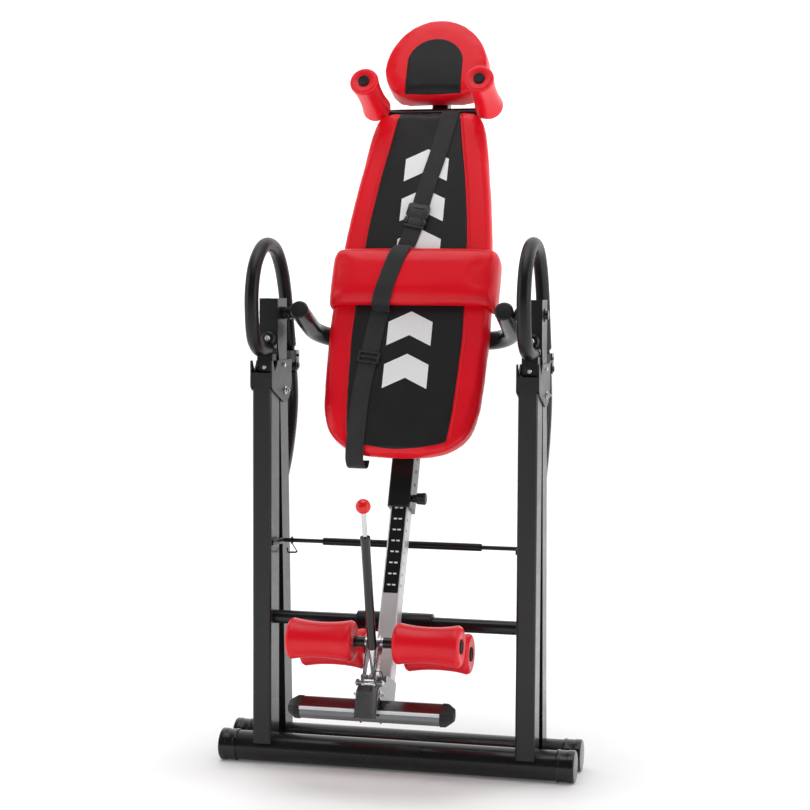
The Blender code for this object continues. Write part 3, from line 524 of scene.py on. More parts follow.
# --- camera and stage
CAM_AZIMUTH, CAM_DIP, CAM_ROLL = (radians(a) for a in (13.6181, 3.6863, 0.2954))
CAM_SPOT, CAM_SENSOR, CAM_LENS = at(0.8622, -3.4822, 0.9683), 36.0, 80.465
ahead = Vector((-sin(CAM_AZIMUTH) * cos(CAM_DIP), cos(CAM_AZIMUTH) * cos(CAM_DIP), -sin(CAM_DIP)))
level = Vector((cos(CAM_AZIMUTH), sin(CAM_AZIMUTH), 0))
upward = level.cross(ahead)
right = level * cos(CAM_ROLL) + upward * sin(CAM_ROLL)
top = upward * cos(CAM_ROLL) - level * sin(CAM_ROLL)
camera = bpy.data.objects.new("camera", bpy.data.cameras.new("camera"))
camera.data.sensor_width, camera.data.lens = CAM_SENSOR, CAM_LENS
turn = Matrix((right, top, -ahead)).transposed().to_4x4()
camera.matrix_world = Matrix.Translation(CAM_SPOT) @ turn
bpy.context.scene.collection.objects.link(camera)
bpy.context.scene.camera = camera
bpy.context.scene.view_settings.view_transform = "Standard"

FLOOR_HALF, SHADOW_POOL_X, SHADOW_POOL_Y = 30, 0.62, 0.52   # the pool round the feet is a painted contact shadow, where the floor glows less
floor_mesh = bpy.data.meshes.new("floor")
floor_mesh.from_pydata([(x * FLOOR_HALF, y * FLOOR_HALF, 0) for x, y in ((-1, -1), (1, -1), (1, 1),
    (-1, 1))], [], [(0, 1, 2, 3)])
floor = bpy.data.objects.new("floor", floor_mesh)
floor_mat, floor_tree, floor_bsdf = shader("pale_floor", (0.9, 0.9, 0.9), 0.6,
    Specular_IOR_Level=0.2)
floor_bsdf.inputs["Emission Color"].default_value = (1, 1, 1, 1)
# Painted shadow: the floor's glow falls from 0.46 far off to 0.08 in an oval round the feet.
shadow_pool = add(floor_tree, "VectorMath", {0: placed(floor_tree, (1 / SHADOW_POOL_X, 1 / SHADOW_POOL_Y, 0))},
    operation="LENGTH").outputs["Value"]
floor_tree.links.new(spread(floor_tree, shadow_pool, 0.08, 0.46, 0.5, 1.7),
    floor_bsdf.inputs["Emission Strength"])
floor_mesh.materials.append(floor_mat)
bpy.context.scene.collection.objects.link(floor)

world = bpy.data.worlds.new("studio")
world.use_nodes = True
studio = world.node_tree
sky = studio.nodes["Background"]
sky.inputs["Color"].default_value = (1, 1, 1, 1)
heading = add(studio, "SeparateXYZ", {0: add(studio, "TexCoord").outputs["Generated"]}).outputs[1]
glow = add(studio, "MapRange", {"Value": heading, "From Min": -0.25, "From Max": 0.62,
    "To Min": 0.07, "To Max": 1.35}, interpolation_type="SMOOTHSTEP").outputs[0]
seen = add(studio, "LightPath").outputs["Is Camera Ray"]
backdrop = maths(studio, "MAXIMUM", glow, seen)
studio.links.new(backdrop, sky.inputs["Strength"])
bpy.context.scene.world = world


def softbox(name, spot, aim, size, power):
    light = bpy.data.lights.new(name, "AREA")
    light.shape, light.size, light.size_y, light.energy = "RECTANGLE", size[0], size[1], power
    obj = bpy.data.objects.new(name, light)
    obj.location = spot
    obj.rotation_euler = (Vector(aim) - Vector(spot)).to_track_quat("-Z", "Y").to_euler()
    bpy.context.scene.collection.objects.link(obj)


softbox("overhead", (0, -0.6, 4.2), (0, 0, 0.6), (3.0, 3.0), 62)
softbox("left", (-3.0, -1.6, 1.8), (0, 0, 0.9), (0.9, 2.6), 27)
softbox("right", (3.4, -0.9, 1.7), (0, 0, 0.8), (0.9, 2.6), 30)

# --- CAD nodes that stay
KEPT = {
    "steel": ["upright_left", "upright_right", "rear_leg_left", "rear_leg_right", "spine_tube",
              "head_post"],
    "foot_steel": ["foot_bracket"],
    "bracket": ["saddle_bracket_left", "saddle_bracket_right", "pivot_channel_left",
                "pivot_channel_right"],
    "plastic": ["boom_guide"],
    "boom": ["boom_tube"],
    "steel_yoke": ["clamp_yoke"],
    "wood": ["backrest_board"],
}
MAT["steel_yoke"] = MAT["zinc"]
WELD_GAP, EDGE_ROUND, EDGE_ANGLE = 0.00002, 0.0005, radians(50)
for key, names in KEPT.items():
    for name in names:
        node = NODES[name]
        node.data.materials.clear()
        node.data.materials.append(MAT[key])
        weld = node.modifiers.new("weld", "WELD")
        weld.merge_threshold = WELD_GAP
        edge = node.modifiers.new("edges", "BEVEL")
        edge.width, edge.segments, edge.limit_method = EDGE_ROUND, 2, "ANGLE"
        edge.angle_limit = EDGE_ANGLE
        edge.harden_normals = True

# --- floor tubes and caps
for row, y, body in (("front", FRONT_Y, "front_frame"), ("rear", REAR_Y, "rear_frame")):
    tube = lathe([(0, BASE_R), (2 * BASE_HALF, BASE_R), (2 * BASE_HALF, BASE_R - TUBE_WALL),
        (0, BASE_R - TUBE_WALL)], at(-BASE_HALF, y, BASE_Z), X_DIR, 72, bore=True)
    piece(f"{row}_floor_tube", tube, "steel", body, [f"{row}_base_tube"])
    for side, s in SIDES.items():
        inner = BASE_R + 0.0002
        shape = turned([(-0.024, inner), (-0.024, CAP_R - 0.0004), (-0.0215, CAP_R),
            (-0.0185, CAP_R), (-0.018, CAP_R - 0.001), (-0.002, CAP_R - 0.001), (-0.0015, CAP_R),
            (0.0105, CAP_R), (0.0125, CAP_R - 0.0022), (0.0125, 0.0001)], 0.0012)
        cap = lathe(shape, at(s * BASE_HALF, y, BASE_Z), (s, 0, 0), 72)
        for v in cap.verts:
            v.co.z = max(v.co.z, 0.0)
        piece(f"{row}_end_cap_{side}", cap, "cap", body, [f"{row}_base_cap_{side}"])

# --- bars between the uprights
INNER_X = LEG_X - LEG_W / 2 - 0.0003
piece("crossbar_tube", lathe([(0, CROSSBAR_R), (2 * INNER_X, CROSSBAR_R),
    (2 * INNER_X, CROSSBAR_R - TUBE_WALL), (0, CROSSBAR_R - TUBE_WALL)], at(-INNER_X, *CROSSBAR_YZ),
    X_DIR, 48, bore=True), "steel", "front_frame", ["crossbar"])
for name, node_name, spot, half, outer, inner in (("crossbar_foam", "crossbar_bumper", CROSSBAR_YZ,
        0.0775, 0.0205, CROSSBAR_R + 0.0002), ("tie_rod_foam", "tie_rod_sleeve", TIE_YZ, 0.165,
        0.0076, TIE_R + 0.0002)):
    shape = turned([(0.002, inner), (0, inner + 0.0006), (0, outer), (2 * half, outer),
        (2 * half, inner + 0.0006), (2 * half - 0.002, inner)], 0.0022, 5)
    piece(name, lathe(shape, at(-half, *spot), X_DIR, 48, bore=True), "grip", "front_frame",
        [node_name])
rod = lathe([(0, TIE_R), (2 * INNER_X - 0.004, TIE_R)], at(-INNER_X + 0.002, *TIE_YZ), X_DIR, 28)
parts = [rod]
for s in SIDES.values():
    parts.append(block([(-0.022, TIE_YZ[1] - 0.001), (TIE_YZ[0], TIE_YZ[1] - 0.0065),
        (TIE_YZ[0] + 0.005, TIE_YZ[1] - 0.0045), (TIE_YZ[0] + 0.007, TIE_YZ[1]),
        (TIE_YZ[0] + 0.005, TIE_YZ[1] + 0.0045), (TIE_YZ[0], TIE_YZ[1] + 0.0065),
        (-0.022, TIE_YZ[1] + 0.0095)], lambda y, z, h, s=s: at(s * h, y, z), INNER_X - 0.003,
        INNER_X, 0.0006))
joined("tie_rod_bar", parts, "steel", "front_frame", ["tie_rod"])

HOOK_X, HOOK_R, EYE = -0.232, 0.0018, 0.0061
hook = [(HOOK_X, TIE_YZ[0] + EYE * cos(radians(a)), TIE_YZ[1] + EYE * sin(radians(a)))
    for a in range(120, -181, -12)]
hook_y = TIE_YZ[0] - EYE
hook += [(HOOK_X + 0.001, hook_y - 0.0005, TIE_YZ[1] - 0.004),
    (HOOK_X + 0.014, hook_y - 0.0005, TIE_YZ[1] - 0.0235), (HOOK_X - 0.008, hook_y - 0.0005,
    TIE_YZ[1] - 0.0245), (HOOK_X - 0.008, hook_y - 0.0005, TIE_YZ[1] - 0.017)]
piece("storage_hook", sweep(softened([at(*p) for p in hook], 0.003, 5), HOOK_R, (0.05, 0.2, 1), 14,
    ends=0.001), "steel", "hook", ["fold_hook"], "chrome")

# --- handles and stays
HANDLE_X, GRIP_R, RAIL_R = 0.271, 0.0141, 0.0105
HANDLE_PATH = mm(52, 842.5, 0, 842.5, -45, 846.5, -77, 870, -88.7, 915, -88, 965, -68, 1013, -28,
    1045.5, 17, 1055.6, 65, 1045, 103, 1010, 128, 962, 145, 905, 157, 862, 166.5, 829)
STAY_PATH = [STAY_YZ, (0.1755, 0.77), (0.178, 0.735), (0.172, 0.695), (0.158, 0.655),
    (0.138, 0.615), (0.1085, 0.573)]
for side, s in SIDES.items():
    x = s * HANDLE_X
    path = spline([at(x, y, z) for y, z in HANDLE_PATH], 8)
    place = lambda y, z, h, x=x: at(x + h, y, z)
    ear = [(STAY_YZ[0] + 0.0105 * cos(radians(a)), STAY_YZ[1] + 0.0105 * sin(radians(a)))
        for a in range(180, 361, 15)]
    ear += mm(177.5, 830, 155.5, 830)
    parts = [sweep(path, RAIL_R, X_DIR, 28), block(rounded(0.011, 0.0072, 0.0015, 0.1665, 0.8308),
        place, -0.0165, 0.0165, 0.0008)]
    for e in (-1, 1):
        parts.append(block(ear, place, *sorted((e * 0.0144, e * 0.0165)), 0.0004))
        parts.append(lathe(turned(mm(16, 4, 16, 6.5, 19, 6, 19.5, 4), 0.0006), at(x, *STAY_YZ),
            (e, 0, 0), 28))
    parts.append(lathe(mm(-16, 4, 16, 4), at(x, *STAY_YZ), X_DIR, 20))
    joined(f"handle_tube_{side}", parts, "steel", "front_frame", [f"handle_rail_{side}"])
    piece(f"handle_foam_{side}", sweep(path[5:-5], GRIP_R - 0.0001, X_DIR, 36, bore=RAIL_R + 0.0002,
        ends=0.003), "grip", "front_frame", [f"handle_grip_{side}"])
    stay = sweep(spline([at(x, y, z) for y, z in STAY_PATH], 8)[3:], 0.0137, X_DIR, 32, ends=0.003)
    lathe(turned(mm(-13.6, 4.3, -13.6, 12.8, 13.6, 12.8, 13.6, 4.3), 0.0008), at(x, *STAY_YZ),
        X_DIR, 36, bore=True, bm=stay)
    piece(f"stay_tube_{side}", stay, "steel", f"stay_arm_{side}", [f"stay_{side}"])

# --- bolts of the brackets
for side, s in SIDES.items():
    centre = s * LEG_X
    plate = LEG_W / 2 + 0.0003 + 0.003
    bolt = lathe([(-plate, 0.005), (plate, 0.005)], at(centre, *FOLD_YZ), X_DIR, 24)
    piece(f"fold_bolt_shank_{side}", bolt, "chrome", "front_frame", [f"fold_bolt_{side}"], "chrome")
    shank = lathe([(-plate, 0.0039), (plate, 0.0039)], at(centre, *CLAMP_BOLT_YZ), X_DIR, 20)
    piece(f"clamp_bolt_shank_{side}", shank, "zinc", "front_frame", slot="chrome")
    for end, e in (("in", -s), ("out", s)):
        nut_end(f"fold_bolt_{end}_{side}", at(centre + e * (plate + 0.0001), *FOLD_YZ), (e, 0, 0),
            "front_frame", 0.01, "chrome")
        hex_bolt(f"clamp_bolt_{end}_{side}", at(centre + e * (plate + 0.0001), *CLAMP_BOLT_YZ),
            (e, 0, 0), "front_frame", 0.008, 0.004)
    upright = lambda p, q, h, centre=centre: at(centre + p, h, q)
    piece(f"lock_block_{side}", block(rounded(0.0161, 0.0198, 0.002, 0, 0.8162), upright, -0.0105,
        0.04), "plastic", "front_frame")
    hanger = block(mm(77.5, 822.5, 104, 822.5, 104, 812, 150, 813, 156, 821, 156, 837, 77.5, 838.5),
        lambda y, z, h, centre=centre: at(centre + h, y, z), -0.015, 0.015)
    piece(f"stay_hanger_{side}", hanger, "plug", "front_frame", slot="black_steel")
    piece(f"handle_seat_{side}", block(rounded(0.0162, 0.0155, 0.002, 0, 0.868), upright, 0.0188,
        0.033), "plastic", "front_frame")
    boss = lathe(turned(mm(0, 0.1, 0, 15, 2.2, 15, 5.2, 11.8, 5.2, 0.1), 0.0012, 4),
        at(centre, 0.0152, 0.866), (0, -1, 0), 40)
    piece(f"bolt_boss_{side}", boss, "plastic", "front_frame")
    hex_bolt(f"channel_bolt_{side}", at(centre, 0.0099, 0.8665), (0, -1, 0), "front_frame", 0.0098,
        0.004)
    hex_bolt(f"block_bolt_{side}", at(centre, -0.0106, 0.808), (0, -1, 0), "front_frame", 0.008,
        0.003)

# --- swing arms and pivots
for side, s in SIDES.items():
    run = [bed(s * ARM_X, PIVOT[0], PIVOT[1] + 0.0155), bed(s * ARM_X, PIVOT[0], 0.002),
        bed(s * (SPINE_HALF_W + 0.0004), PIVOT[0], -0.022)]
    before, corner, after = run
    a, b = (before - corner).normalized(), (after - corner).normalized()
    half = a.angle(b) / 2
    reach = 0.065 / tan(half)
    hub = corner + (a + b).normalized() * 0.065 / sin(half)
    start, stop = corner + a * reach - hub, corner + b * reach - hub
    whole = start.angle(stop)
    arc = [hub + (sin((1 - t) * whole) * start + sin(t * whole) * stop) / sin(whole)
        for t in (i / 20 for i in range(21))]
    arm = sweep([run[0]] + arc + [run[2]], ARM_R - 0.0001, U_DIR, 40, bore=ARM_R - TUBE_WALL)
    piece(f"arm_tube_{side}", arm, "steel", "bed", [f"swing_arm_{side}"])
    piece(f"arm_end_{side}", lathe(turned([(0.0003, 0.0001), (0.0003, ARM_R + 0.0004),
        (0.003, ARM_R + 0.0004), (0.0047, ARM_R - 0.003), (0.0052, 0.0001)], 0.0018, 5),
        bed(s * ARM_X, PIVOT[0], PIVOT[1] + 0.0155), N_DIR, 40), "plastic", "bed",
        [f"arm_cap_{side}"])
    pin = turned(mm(0, 0.1, 0, 10, 3, 13, 9, 13, 10, 11.5, 11, 13, 20, 13, 20, 8, 60.4, 8, 60.4, 13,
        62, 13, 62, 9.2, 66.5, 9.2, 67.5, 8, 67.5, 0.1), 0.0006)
    pivot = bed(0, *PIVOT)
    piece(f"pivot_shaft_{side}", lathe(pin, (s * (ARM_X + ARM_R + 0.0004), pivot.y, pivot.z),
        (s, 0, 0), 40), "steel", "bed", [f"pivot_pin_{side}"])


# --- upholstery
EDGE = mm(0, 169.5, 60, 171.5, 108, 185, 143, 214, 159.5, 256, 166, 310, 169.5, 380, 171, 440, 169,
    510, 160.5, 630, 149, 735, 134.5, 830, 124.5, 887, 113, 922, 93, 936, 50, 939.5, 0, 939.5)
PANEL = mm(170, 100, 184, 101, 227, 106.8, 266, 110.8, 330, 114.2, 393, 116.7, 437, 117.1, 520,
    115.5, 638, 108.7, 684, 104.5, 730, 98.6, 776, 92.4, 822, 84.6, 869, 76.4, 940, 66)
HEAD = mm(0, 978.5, 60, 978.5, 80, 983, 95.5, 996, 106.5, 1016)
HEAD += [(0.1125 * cos(radians(a)), 1.04 + 0.1225 * sin(radians(a)))
    for a in range(0, 90, 6)] + [(0.0, 1.1625)]


def mirrored(half):
    return half + [(-x, u) for x, u in reversed(half[1:-1])]


def along(table, key):
    """Value of a table of (key, value) at a key, with straight runs between its rows."""
    for (k0, v0), (k1, v1) in zip(table, table[1:]):
        if key <= k1:
            return v0 + (v1 - v0) * max(0.0, (key - k0) / (k1 - k0))
    return table[-1][1]


def inset_outline(outline, inset):
    """Closed outline moved inwards by a distance."""
    made = []
    for i, (x, u) in enumerate(outline):
        x0, u0 = outline[i - 1]
        x1, u1 = outline[(i + 1) % len(outline)]
        dx, du = x1 - x0, u1 - u0
        size = hypot(dx, du)
        made.append((x - inset * du / size, u + inset * dx / size))
    return made


SWELL_CAP, SWELL_FRAMES = 0.003, 16


def cushion(name, bm, voxel, pressure, node_name, calm=2):
    """Swells a closed shape as stuffed cloth, keeps each point within SWELL_CAP of its start."""
    bmesh.ops.recalc_face_normals(bm, faces=bm.faces)
    mesh = bpy.data.meshes.new(name)
    bm.to_mesh(mesh)
    bm.free()
    obj = bpy.data.objects.new(name, mesh)
    bpy.context.scene.collection.objects.link(obj)
    remesh = obj.modifiers.new("remesh", "REMESH")
    remesh.mode, remesh.voxel_size = "VOXEL", voxel
    smooth = obj.modifiers.new("smooth", "SMOOTH")
    smooth.factor, smooth.iterations = 0.5, 2
    bake(obj)
    rest = [v.co.copy() for v in obj.data.vertices]
    cloth = obj.modifiers.new("cloth", "CLOTH")
    stuffing = cloth.settings
    stuffing.use_pressure, stuffing.uniform_pressure_force = True, pressure
    stuffing.effector_weights.gravity = 0.0
    stuffing.quality, stuffing.tension_stiffness = 5, 30
    cloth.point_cache.frame_start, cloth.point_cache.frame_end = 1, SWELL_FRAMES
    scene = bpy.context.scene
    for step in range(1, SWELL_FRAMES + 1):
        scene.frame_set(step)
    graph = bpy.context.evaluated_depsgraph_get()
    swollen = obj.evaluated_get(graph).data
    for i, v in enumerate(swollen.vertices):
        move = v.co - rest[i]
        if move.length > SWELL_CAP:
            move *= SWELL_CAP / move.length
        obj.data.vertices[i].co = rest[i] + move
    obj.modifiers.clear()
    scene.frame_set(1)
    relax = obj.modifiers.new("relax", "SMOOTH")
    relax.factor, relax.iterations = 0.5, calm
    subdivide = obj.modifiers.new("subdivide", "SUBSURF")
    subdivide.levels = subdivide.render_levels = 1
    bake(obj)
    dress(obj, "vinyl", "headrest" if name.startswith("head") else "bed", [node_name], sharp=180)
    return obj


def bake(obj):
    """Replaces the object's mesh by what its modifiers make of it."""
    graph = bpy.context.evaluated_depsgraph_get()
    made = bpy.data.meshes.new_from_object(obj.evaluated_get(graph))
    old = obj.data
    obj.modifiers.clear()
    obj.data = made
    bpy.data.meshes.remove(old)


def puffed(outline, back, face, edge, crown, place):
    """Pad blank: square back edge, rounded front edge, and a crown over its middle."""
    rings = [(inset_outline(outline, edge * 0.25), back), (outline, back + edge * 0.25)]
    for angle in range(15, 91, 15):
        a = radians(angle)
        rings.append((inset_outline(outline, edge * (1 - cos(a))), face - edge * (1 - sin(a))))
    for k in (0.35, 0.6, 0.8):
        mid_p, mid_q = (sum(values) / len(outline) for values in zip(*outline))
        rings.append(([(mid_p + (p - mid_p) * (1 - k), mid_q + (q - mid_q) * (1 - k))
            for p, q in inset_outline(outline, edge)], face + crown * (1 - (1 - k) ** 2)))
    return loft(rings, place)


def creased(obj, distance, width, depth, direction):
    """Presses a seam groove into a pad; distance gives how far a point is from the seam."""
    for v in obj.data.vertices:
        gap = distance(*bed_coords(v.co))
        if gap is not None:
            v.co -= direction * depth * exp(-(gap / width) ** 2)
    obj.data.update()


def trees_of(*objs):
    return [BVHTree.FromPolygons([obj.matrix_world @ v.co for v in obj.data.vertices],
        [p.vertices[:] for p in obj.data.polygons]) for obj in objs]


def first_hit(trees, start, direction, reach=0.24):
    hits = [tree.ray_cast(start, direction, reach)[0] for tree in trees]
    hits = [h for h in hits if h is not None]
    return min(hits, key=lambda h: (h - start).length) if hits else None


def surface_of(*objs):
    """Height out of the bed of the given objects at (x, u)."""
    trees = trees_of(*objs)

    def height(x, u, default=PAD_FACE):
        hit = first_hit(trees, bed(x, u, 0.25), -N_DIR)
        return default if hit is None else bed_coords(hit)[2]
    return height


back_outline = mirrored([tuple(v) for v in spline(EDGE, 4)])
backrest = cushion("backrest_cover", puffed(inset_outline(back_outline, 0.002), PAD_BACK + 0.0008,
    PAD_FACE - 0.0015, 0.01, 0.0025, bed), 0.0042, 3.0, "backrest_pad")
creased(backrest, lambda x, u, n: abs(abs(x) - along(PANEL, u)) if n > 0.066 and u > 0.19 else None,
    0.0028, 0.0016, N_DIR)

head_outline = mirrored(HEAD)
headrest = cushion("headrest_cover", puffed(head_outline, 0.0162, 0.0742, 0.009, 0.0025, bed),
    0.004, 2.0, "headrest_pad", 8)

LUMBAR_LOW, LUMBAR_HIGH = 0.485, 0.613
section = mm(-171, 41, -171.2, 80, -163, 102, -138, 111, -70, 113, 0, 113.8, 70, 113, 138, 110, 168,
    101, 178.5, 80, 178, 41, 164, 41, 164, 79, -158, 79, -158, 41)
section = turned(section, 0.01)
rings = []
for t in (0.0, 0.02, 0.05, 0.1, 0.17, 0.26, 0.38, 0.5, 0.62, 0.74, 0.83, 0.9, 0.95, 0.98, 1.0):
    end = max(0.0, (abs(2 * t - 1) - 0.55) / 0.45) ** 2.4
    pinch = (0.055 if t > 0.5 else 0.006) * end
    ring = [(x * (1 - pinch * (abs(x) > 0.16)), n if n <= 0.0791 else 0.0791 + (n - 0.0791)
        * (1 - 0.55 * end)) for x, n in section]
    rings.append((ring, LUMBAR_LOW + 0.001 + t * (LUMBAR_HIGH - LUMBAR_LOW - 0.002)))
blank = loft(rings, lambda x, n, u: bed(x, u, n))
lumbar = cushion("lumbar_cover", blank, 0.0042, 1.5, "lumbar_pad", 5)


SHEET_LIFT, SHEET_TUCK = 0.0007, -0.0008


def sheet_on(name, obj, spots, mat, body):
    """Thin upholstery layer over a pad; its UVs are in metres. Each spot is (x, u, lean, drop): it
    is laid at (x, u) from the front, or leaning towards the top of the bed and drop deeper."""
    bm = bmesh.new()
    layer = bm.loops.layers.uv.new("UVMap")
    trees = trees_of(obj)
    grid, flat = [], {}
    for r, row in enumerate(spots):
        line = []
        for c, (x, u, lean, drop) in enumerate(row):
            out = cos(lean) * N_DIR + sin(lean) * U_DIR
            anchor = bed(x, u, PAD_FACE - 0.016 - drop)
            hit = first_hit(trees, anchor + out * 0.12, -out) or anchor
            rim = min(r, c, len(spots) - 1 - r, len(row) - 1 - c) == 0
            v = bm.verts.new(hit + out * (SHEET_TUCK if rim else SHEET_LIFT))
            flat[v] = (x, u + 0.016 * lean + drop)
            line.append(v)
        grid.append(line)
    for upper, lower in zip(grid, grid[1:]):
        for i in range(len(upper) - 1):
            face = bm.faces.new((upper[i], upper[i + 1], lower[i + 1], lower[i]))
            for loop in face.loops:
                loop[layer].uv = flat[loop.vert]
    return piece(name, bm, mat, body, sharp=180)


def fraction(i, count, tight=0.03):
    """Even steps from -1 to 1 with an extra narrow step at each end."""
    if i == 0 or i == count:
        return -1.0 if i == 0 else 1.0
    return (-1 + tight) + (2 - 2 * tight) * (i - 1) / (count - 2)


PANEL_TOP = 0.92
rows = []
for j in range(181):
    t = max(0.0, (fraction(j, 180, 0.004) + 1) / 2)
    row = []
    for i in range(49):
        side = fraction(i, 48)
        low = 0.1835 + 0.015 * side * side + 0.004 * abs(side) ** 24
        u = low + t * (PANEL_TOP - low)
        row.append((side * (along(PANEL, u) - 0.0004), u, 0.0, 0.0))
    rows.append(row)
for lean, drop in [(radians(a), 0.0) for a in range(10, 91, 10)] + [(pi / 2, 0.006),
        (pi / 2, 0.012)]:
    rows.append([(fraction(i, 48) * (along(PANEL, 0.93) - 0.0004), PANEL_TOP, lean, drop)
        for i in range(49)])
panel = sheet_on("backrest_panel", backrest, rows, "print", "bed")

rows = []
for j in range(61):
    t = (fraction(j, 60, 0.012) + 1) / 2
    row = []
    for i in range(33):
        side = fraction(i, 32)
        high = 1.05 + 0.06 * sqrt(max(0.0, 1 - side * side))
        row.append((side * (0.062 - 0.001 * t), 0.982 + t * (high - 0.982), 0.0, 0.0))
    rows.append(row)
inset = sheet_on("headrest_panel", headrest, rows, "inset", "headrest")


def stitches(name, route, height, body, mat="thread", pitch=0.0046, length=0.0033, radius=0.00042):
    """Row of thread stitches lying on a pad along a route of (x, u) points."""
    bm = bmesh.new()
    points = [Vector((x, u)) for x, u in route]
    walked, target = 0.0, pitch / 2
    for a, b in zip(points, points[1:]):
        run = (b - a).length
        while walked + run >= target:
            spot = a.lerp(b, (target - walked) / run)
            step = (b - a).normalized() * length / 2
            ends = [spot - step, spot + step]
            line = []
            for k in range(5):
                p = ends[0].lerp(ends[1], k / 4)
                arch = sin(pi * k / 4)
                line.append(bed(p.x, p.y, height(p.x, p.y) + radius * (1.4 * arch - 0.3)))
            sweep(line, radius, (N_DIR.cross(line[-1] - line[0])).normalized(), 6, bm=bm)
            target += pitch
        walked += run
    return piece(name, bm, mat, body, sharp=60)


panel_face = surface_of(backrest, panel)
for side, s in SIDES.items():
    for gap, label, thread in ((-0.0045, "panel", "thread"), (0.0048, "edge", "red_thread")):
        route = [(s * (along(PANEL, u) + gap), u) for u in (0.215 + i * 0.006 for i in range(117))]
        route = [p for p in route if p[1] < 0.914]
        stitches(f"back_{label}_stitches_{side}", route, panel_face, "bed", thread)
head_top = surface_of(headrest, inset)
arch = [(-0.0575, 0.988 + 0.062 * i / 10) for i in range(10)]
arch += [(-0.0575 * cos(radians(a)), 1.05 + 0.0555 * sin(radians(a))) for a in range(0, 181, 4)]
arch += [(0.0575, 1.05 - 0.062 * i / 10) for i in range(1, 11)]
stitches("head_panel_stitches", arch, head_top, "headrest")
lumbar_face = surface_of(lumbar)
for label, u in (("low", LUMBAR_LOW + 0.011), ("high", LUMBAR_HIGH - 0.011)):
    stitches(f"lumbar_{label}_stitches", [(x / 1000, u) for x in range(-165, 166, 3)], lumbar_face,
        "bed", "red_thread")

# --- belt, buckle and slider
BELT_W, BELT_T = 0.037, 0.0016
BELT_FRONT = mm(47, 934, 44, 918, 30, 840, 14, 770, 0, 700, -11, 650, -18, 626, -21.5, 610, -38.5,
    550, -54, 490, -59, 474, -64, 450, -70, 400, -80, 320, -83, 260, -83, 200, -83, 178)
BELT_START = mm(50, 900, 29, 49.5, 925, 29, 48.5, 937, 33, 48, 940.5, 45, 48, 940.8, 62, 47.5,
    938.5, 74, by=3)
BELT_END = mm(-83, 162, 75, -83, 154, 64, -83, 151.5, 52, -83, 153.5, 40, -83, 161, 30, -83, 174,
    26.5, by=3)
under = surface_of(backrest, panel, lumbar)
front = []
for x, u in spline(BELT_FRONT, 6):
    reach = max(under(x + dx, u + du) for dx in (-0.017, 0.0, 0.017) for du in (-0.006, 0.0, 0.006))
    front.append((x, u, reach + BELT_T / 2 + 0.0006))
for _ in range(3):
    front = [front[0]] + [(b[0], b[1], max(b[2], (a[2] + b[2] + c[2]) / 3))
        for a, b, c in zip(front, front[1:], front[2:])] + [front[-1]]
belt_line = spline(BELT_START + front + BELT_END, 2)

bm = bmesh.new()
layer = bm.loops.layers.uv.new("UVMap")
spots = [bed(*p) for p in belt_line]
profile = [(-1, -0.6), (-0.94, -1), (-0.5, -1), (0, -1), (0.5, -1), (0.94, -1), (1, -0.6), (1, 0.6),
    (0.94, 1), (0.5, 1), (0, 1), (-0.5, 1), (-0.94, 1), (-1, 0.6)]
rings, flat, length = [], {}, 0.0
for i, spot in enumerate(spots):
    run = (spots[min(i + 1, len(spots) - 1)] - spots[max(i - 1, 0)]).normalized()
    across = (X_DIR - run * run.x).normalized()
    face = run.cross(across)
    length += (spot - spots[i - 1]).length if i else 0.0
    ring = []
    for a, f in profile:
        ripple = 0.00025 * noise.noise(Vector((a * 2, length * 30, 0.3)))
        v = bm.verts.new(spot + a * BELT_W / 2 * across + (f * BELT_T / 2 + ripple) * face)
        flat[v] = (a * BELT_W / 2, length)
        ring.append(v)
    rings.append(ring)
bridge(bm, rings)
for face in bm.faces:
    for loop in face.loops:
        loop[layer].uv = flat[loop.vert]
piece("belt_strap", bm, "belt", "bed", ["belt"], sharp=60)


def belt_place(u):
    """Placing function on the belt at a height u: across, along and out of the strap."""
    i = min(range(3, len(belt_line) - 3), key=lambda k: abs(belt_line[k].y - u)
        + (belt_line[k].z <= 0.07))
    here, run = bed(*belt_line[i]), (bed(*belt_line[i - 1]) - bed(*belt_line[i + 1])).normalized()
    across = (X_DIR - run * run.x).normalized()
    out = across.cross(run).normalized()
    if out.dot(N_DIR) < 0:
        out = -out
    return lambda p, q, h: here + p * across + q * run + h * out


BUCKLE_U, SLIDER_U, HALF = 0.692, 0.376, BELT_W / 2
buckle = belt_place(BUCKLE_U)
shell = block(rounded(0.0235, 0.015, 0.005, 0, 0.008), buckle, -0.0012, 0.008, 0.0014, 3)
tongue = block(rounded(0.015, 0.011, 0.003, 0, -0.013), buckle, 0.0004, 0.0062, 0.001, 3)
parts = [shell, tongue]
for s in (-1, 1):
    parts.append(block([(s * 0.0165, -0.006), (s * 0.0235, -0.01), (s * 0.0242, -0.018),
        (s * 0.0205, -0.0235), (s * 0.016, -0.02)][::s], buckle, 0.0004, 0.0066, 0.001, 3))
    parts.append(block(rounded(0.0019, 0.008, 0.0015, s * 0.0205, 0.008), buckle, 0.0078, 0.0092,
        0.0005, 2))
parts.append(block(rounded(HALF + 0.0035, 0.0026, 0.002, 0, -0.0262), buckle, -0.0004, 0.0048,
    0.0009, 3))
parts.append(block(rounded(0.012, 0.002, 0.001, 0, 0.014), buckle, 0.0078, 0.009, 0.0004, 2))
joined("belt_buckle_shell", parts, "clip", "bed", ["belt_buckle"], sharp=30)

slide = belt_place(SLIDER_U)
parts = []
for q in (-0.0105, 0.0, 0.0105):
    parts.append(block(rounded(HALF + 0.0032, 0.0017, 0.0013, 0, q), slide, 0.0008, 0.0042, 0.0006,
        3))
for s in (-1, 1):
    parts.append(block(rounded(0.002, 0.0122, 0.0016, s * (HALF + 0.0022), 0), slide, 0.0008,
        0.0042, 0.0006, 3))
joined("belt_slider", parts, "clip", "bed", sharp=30)

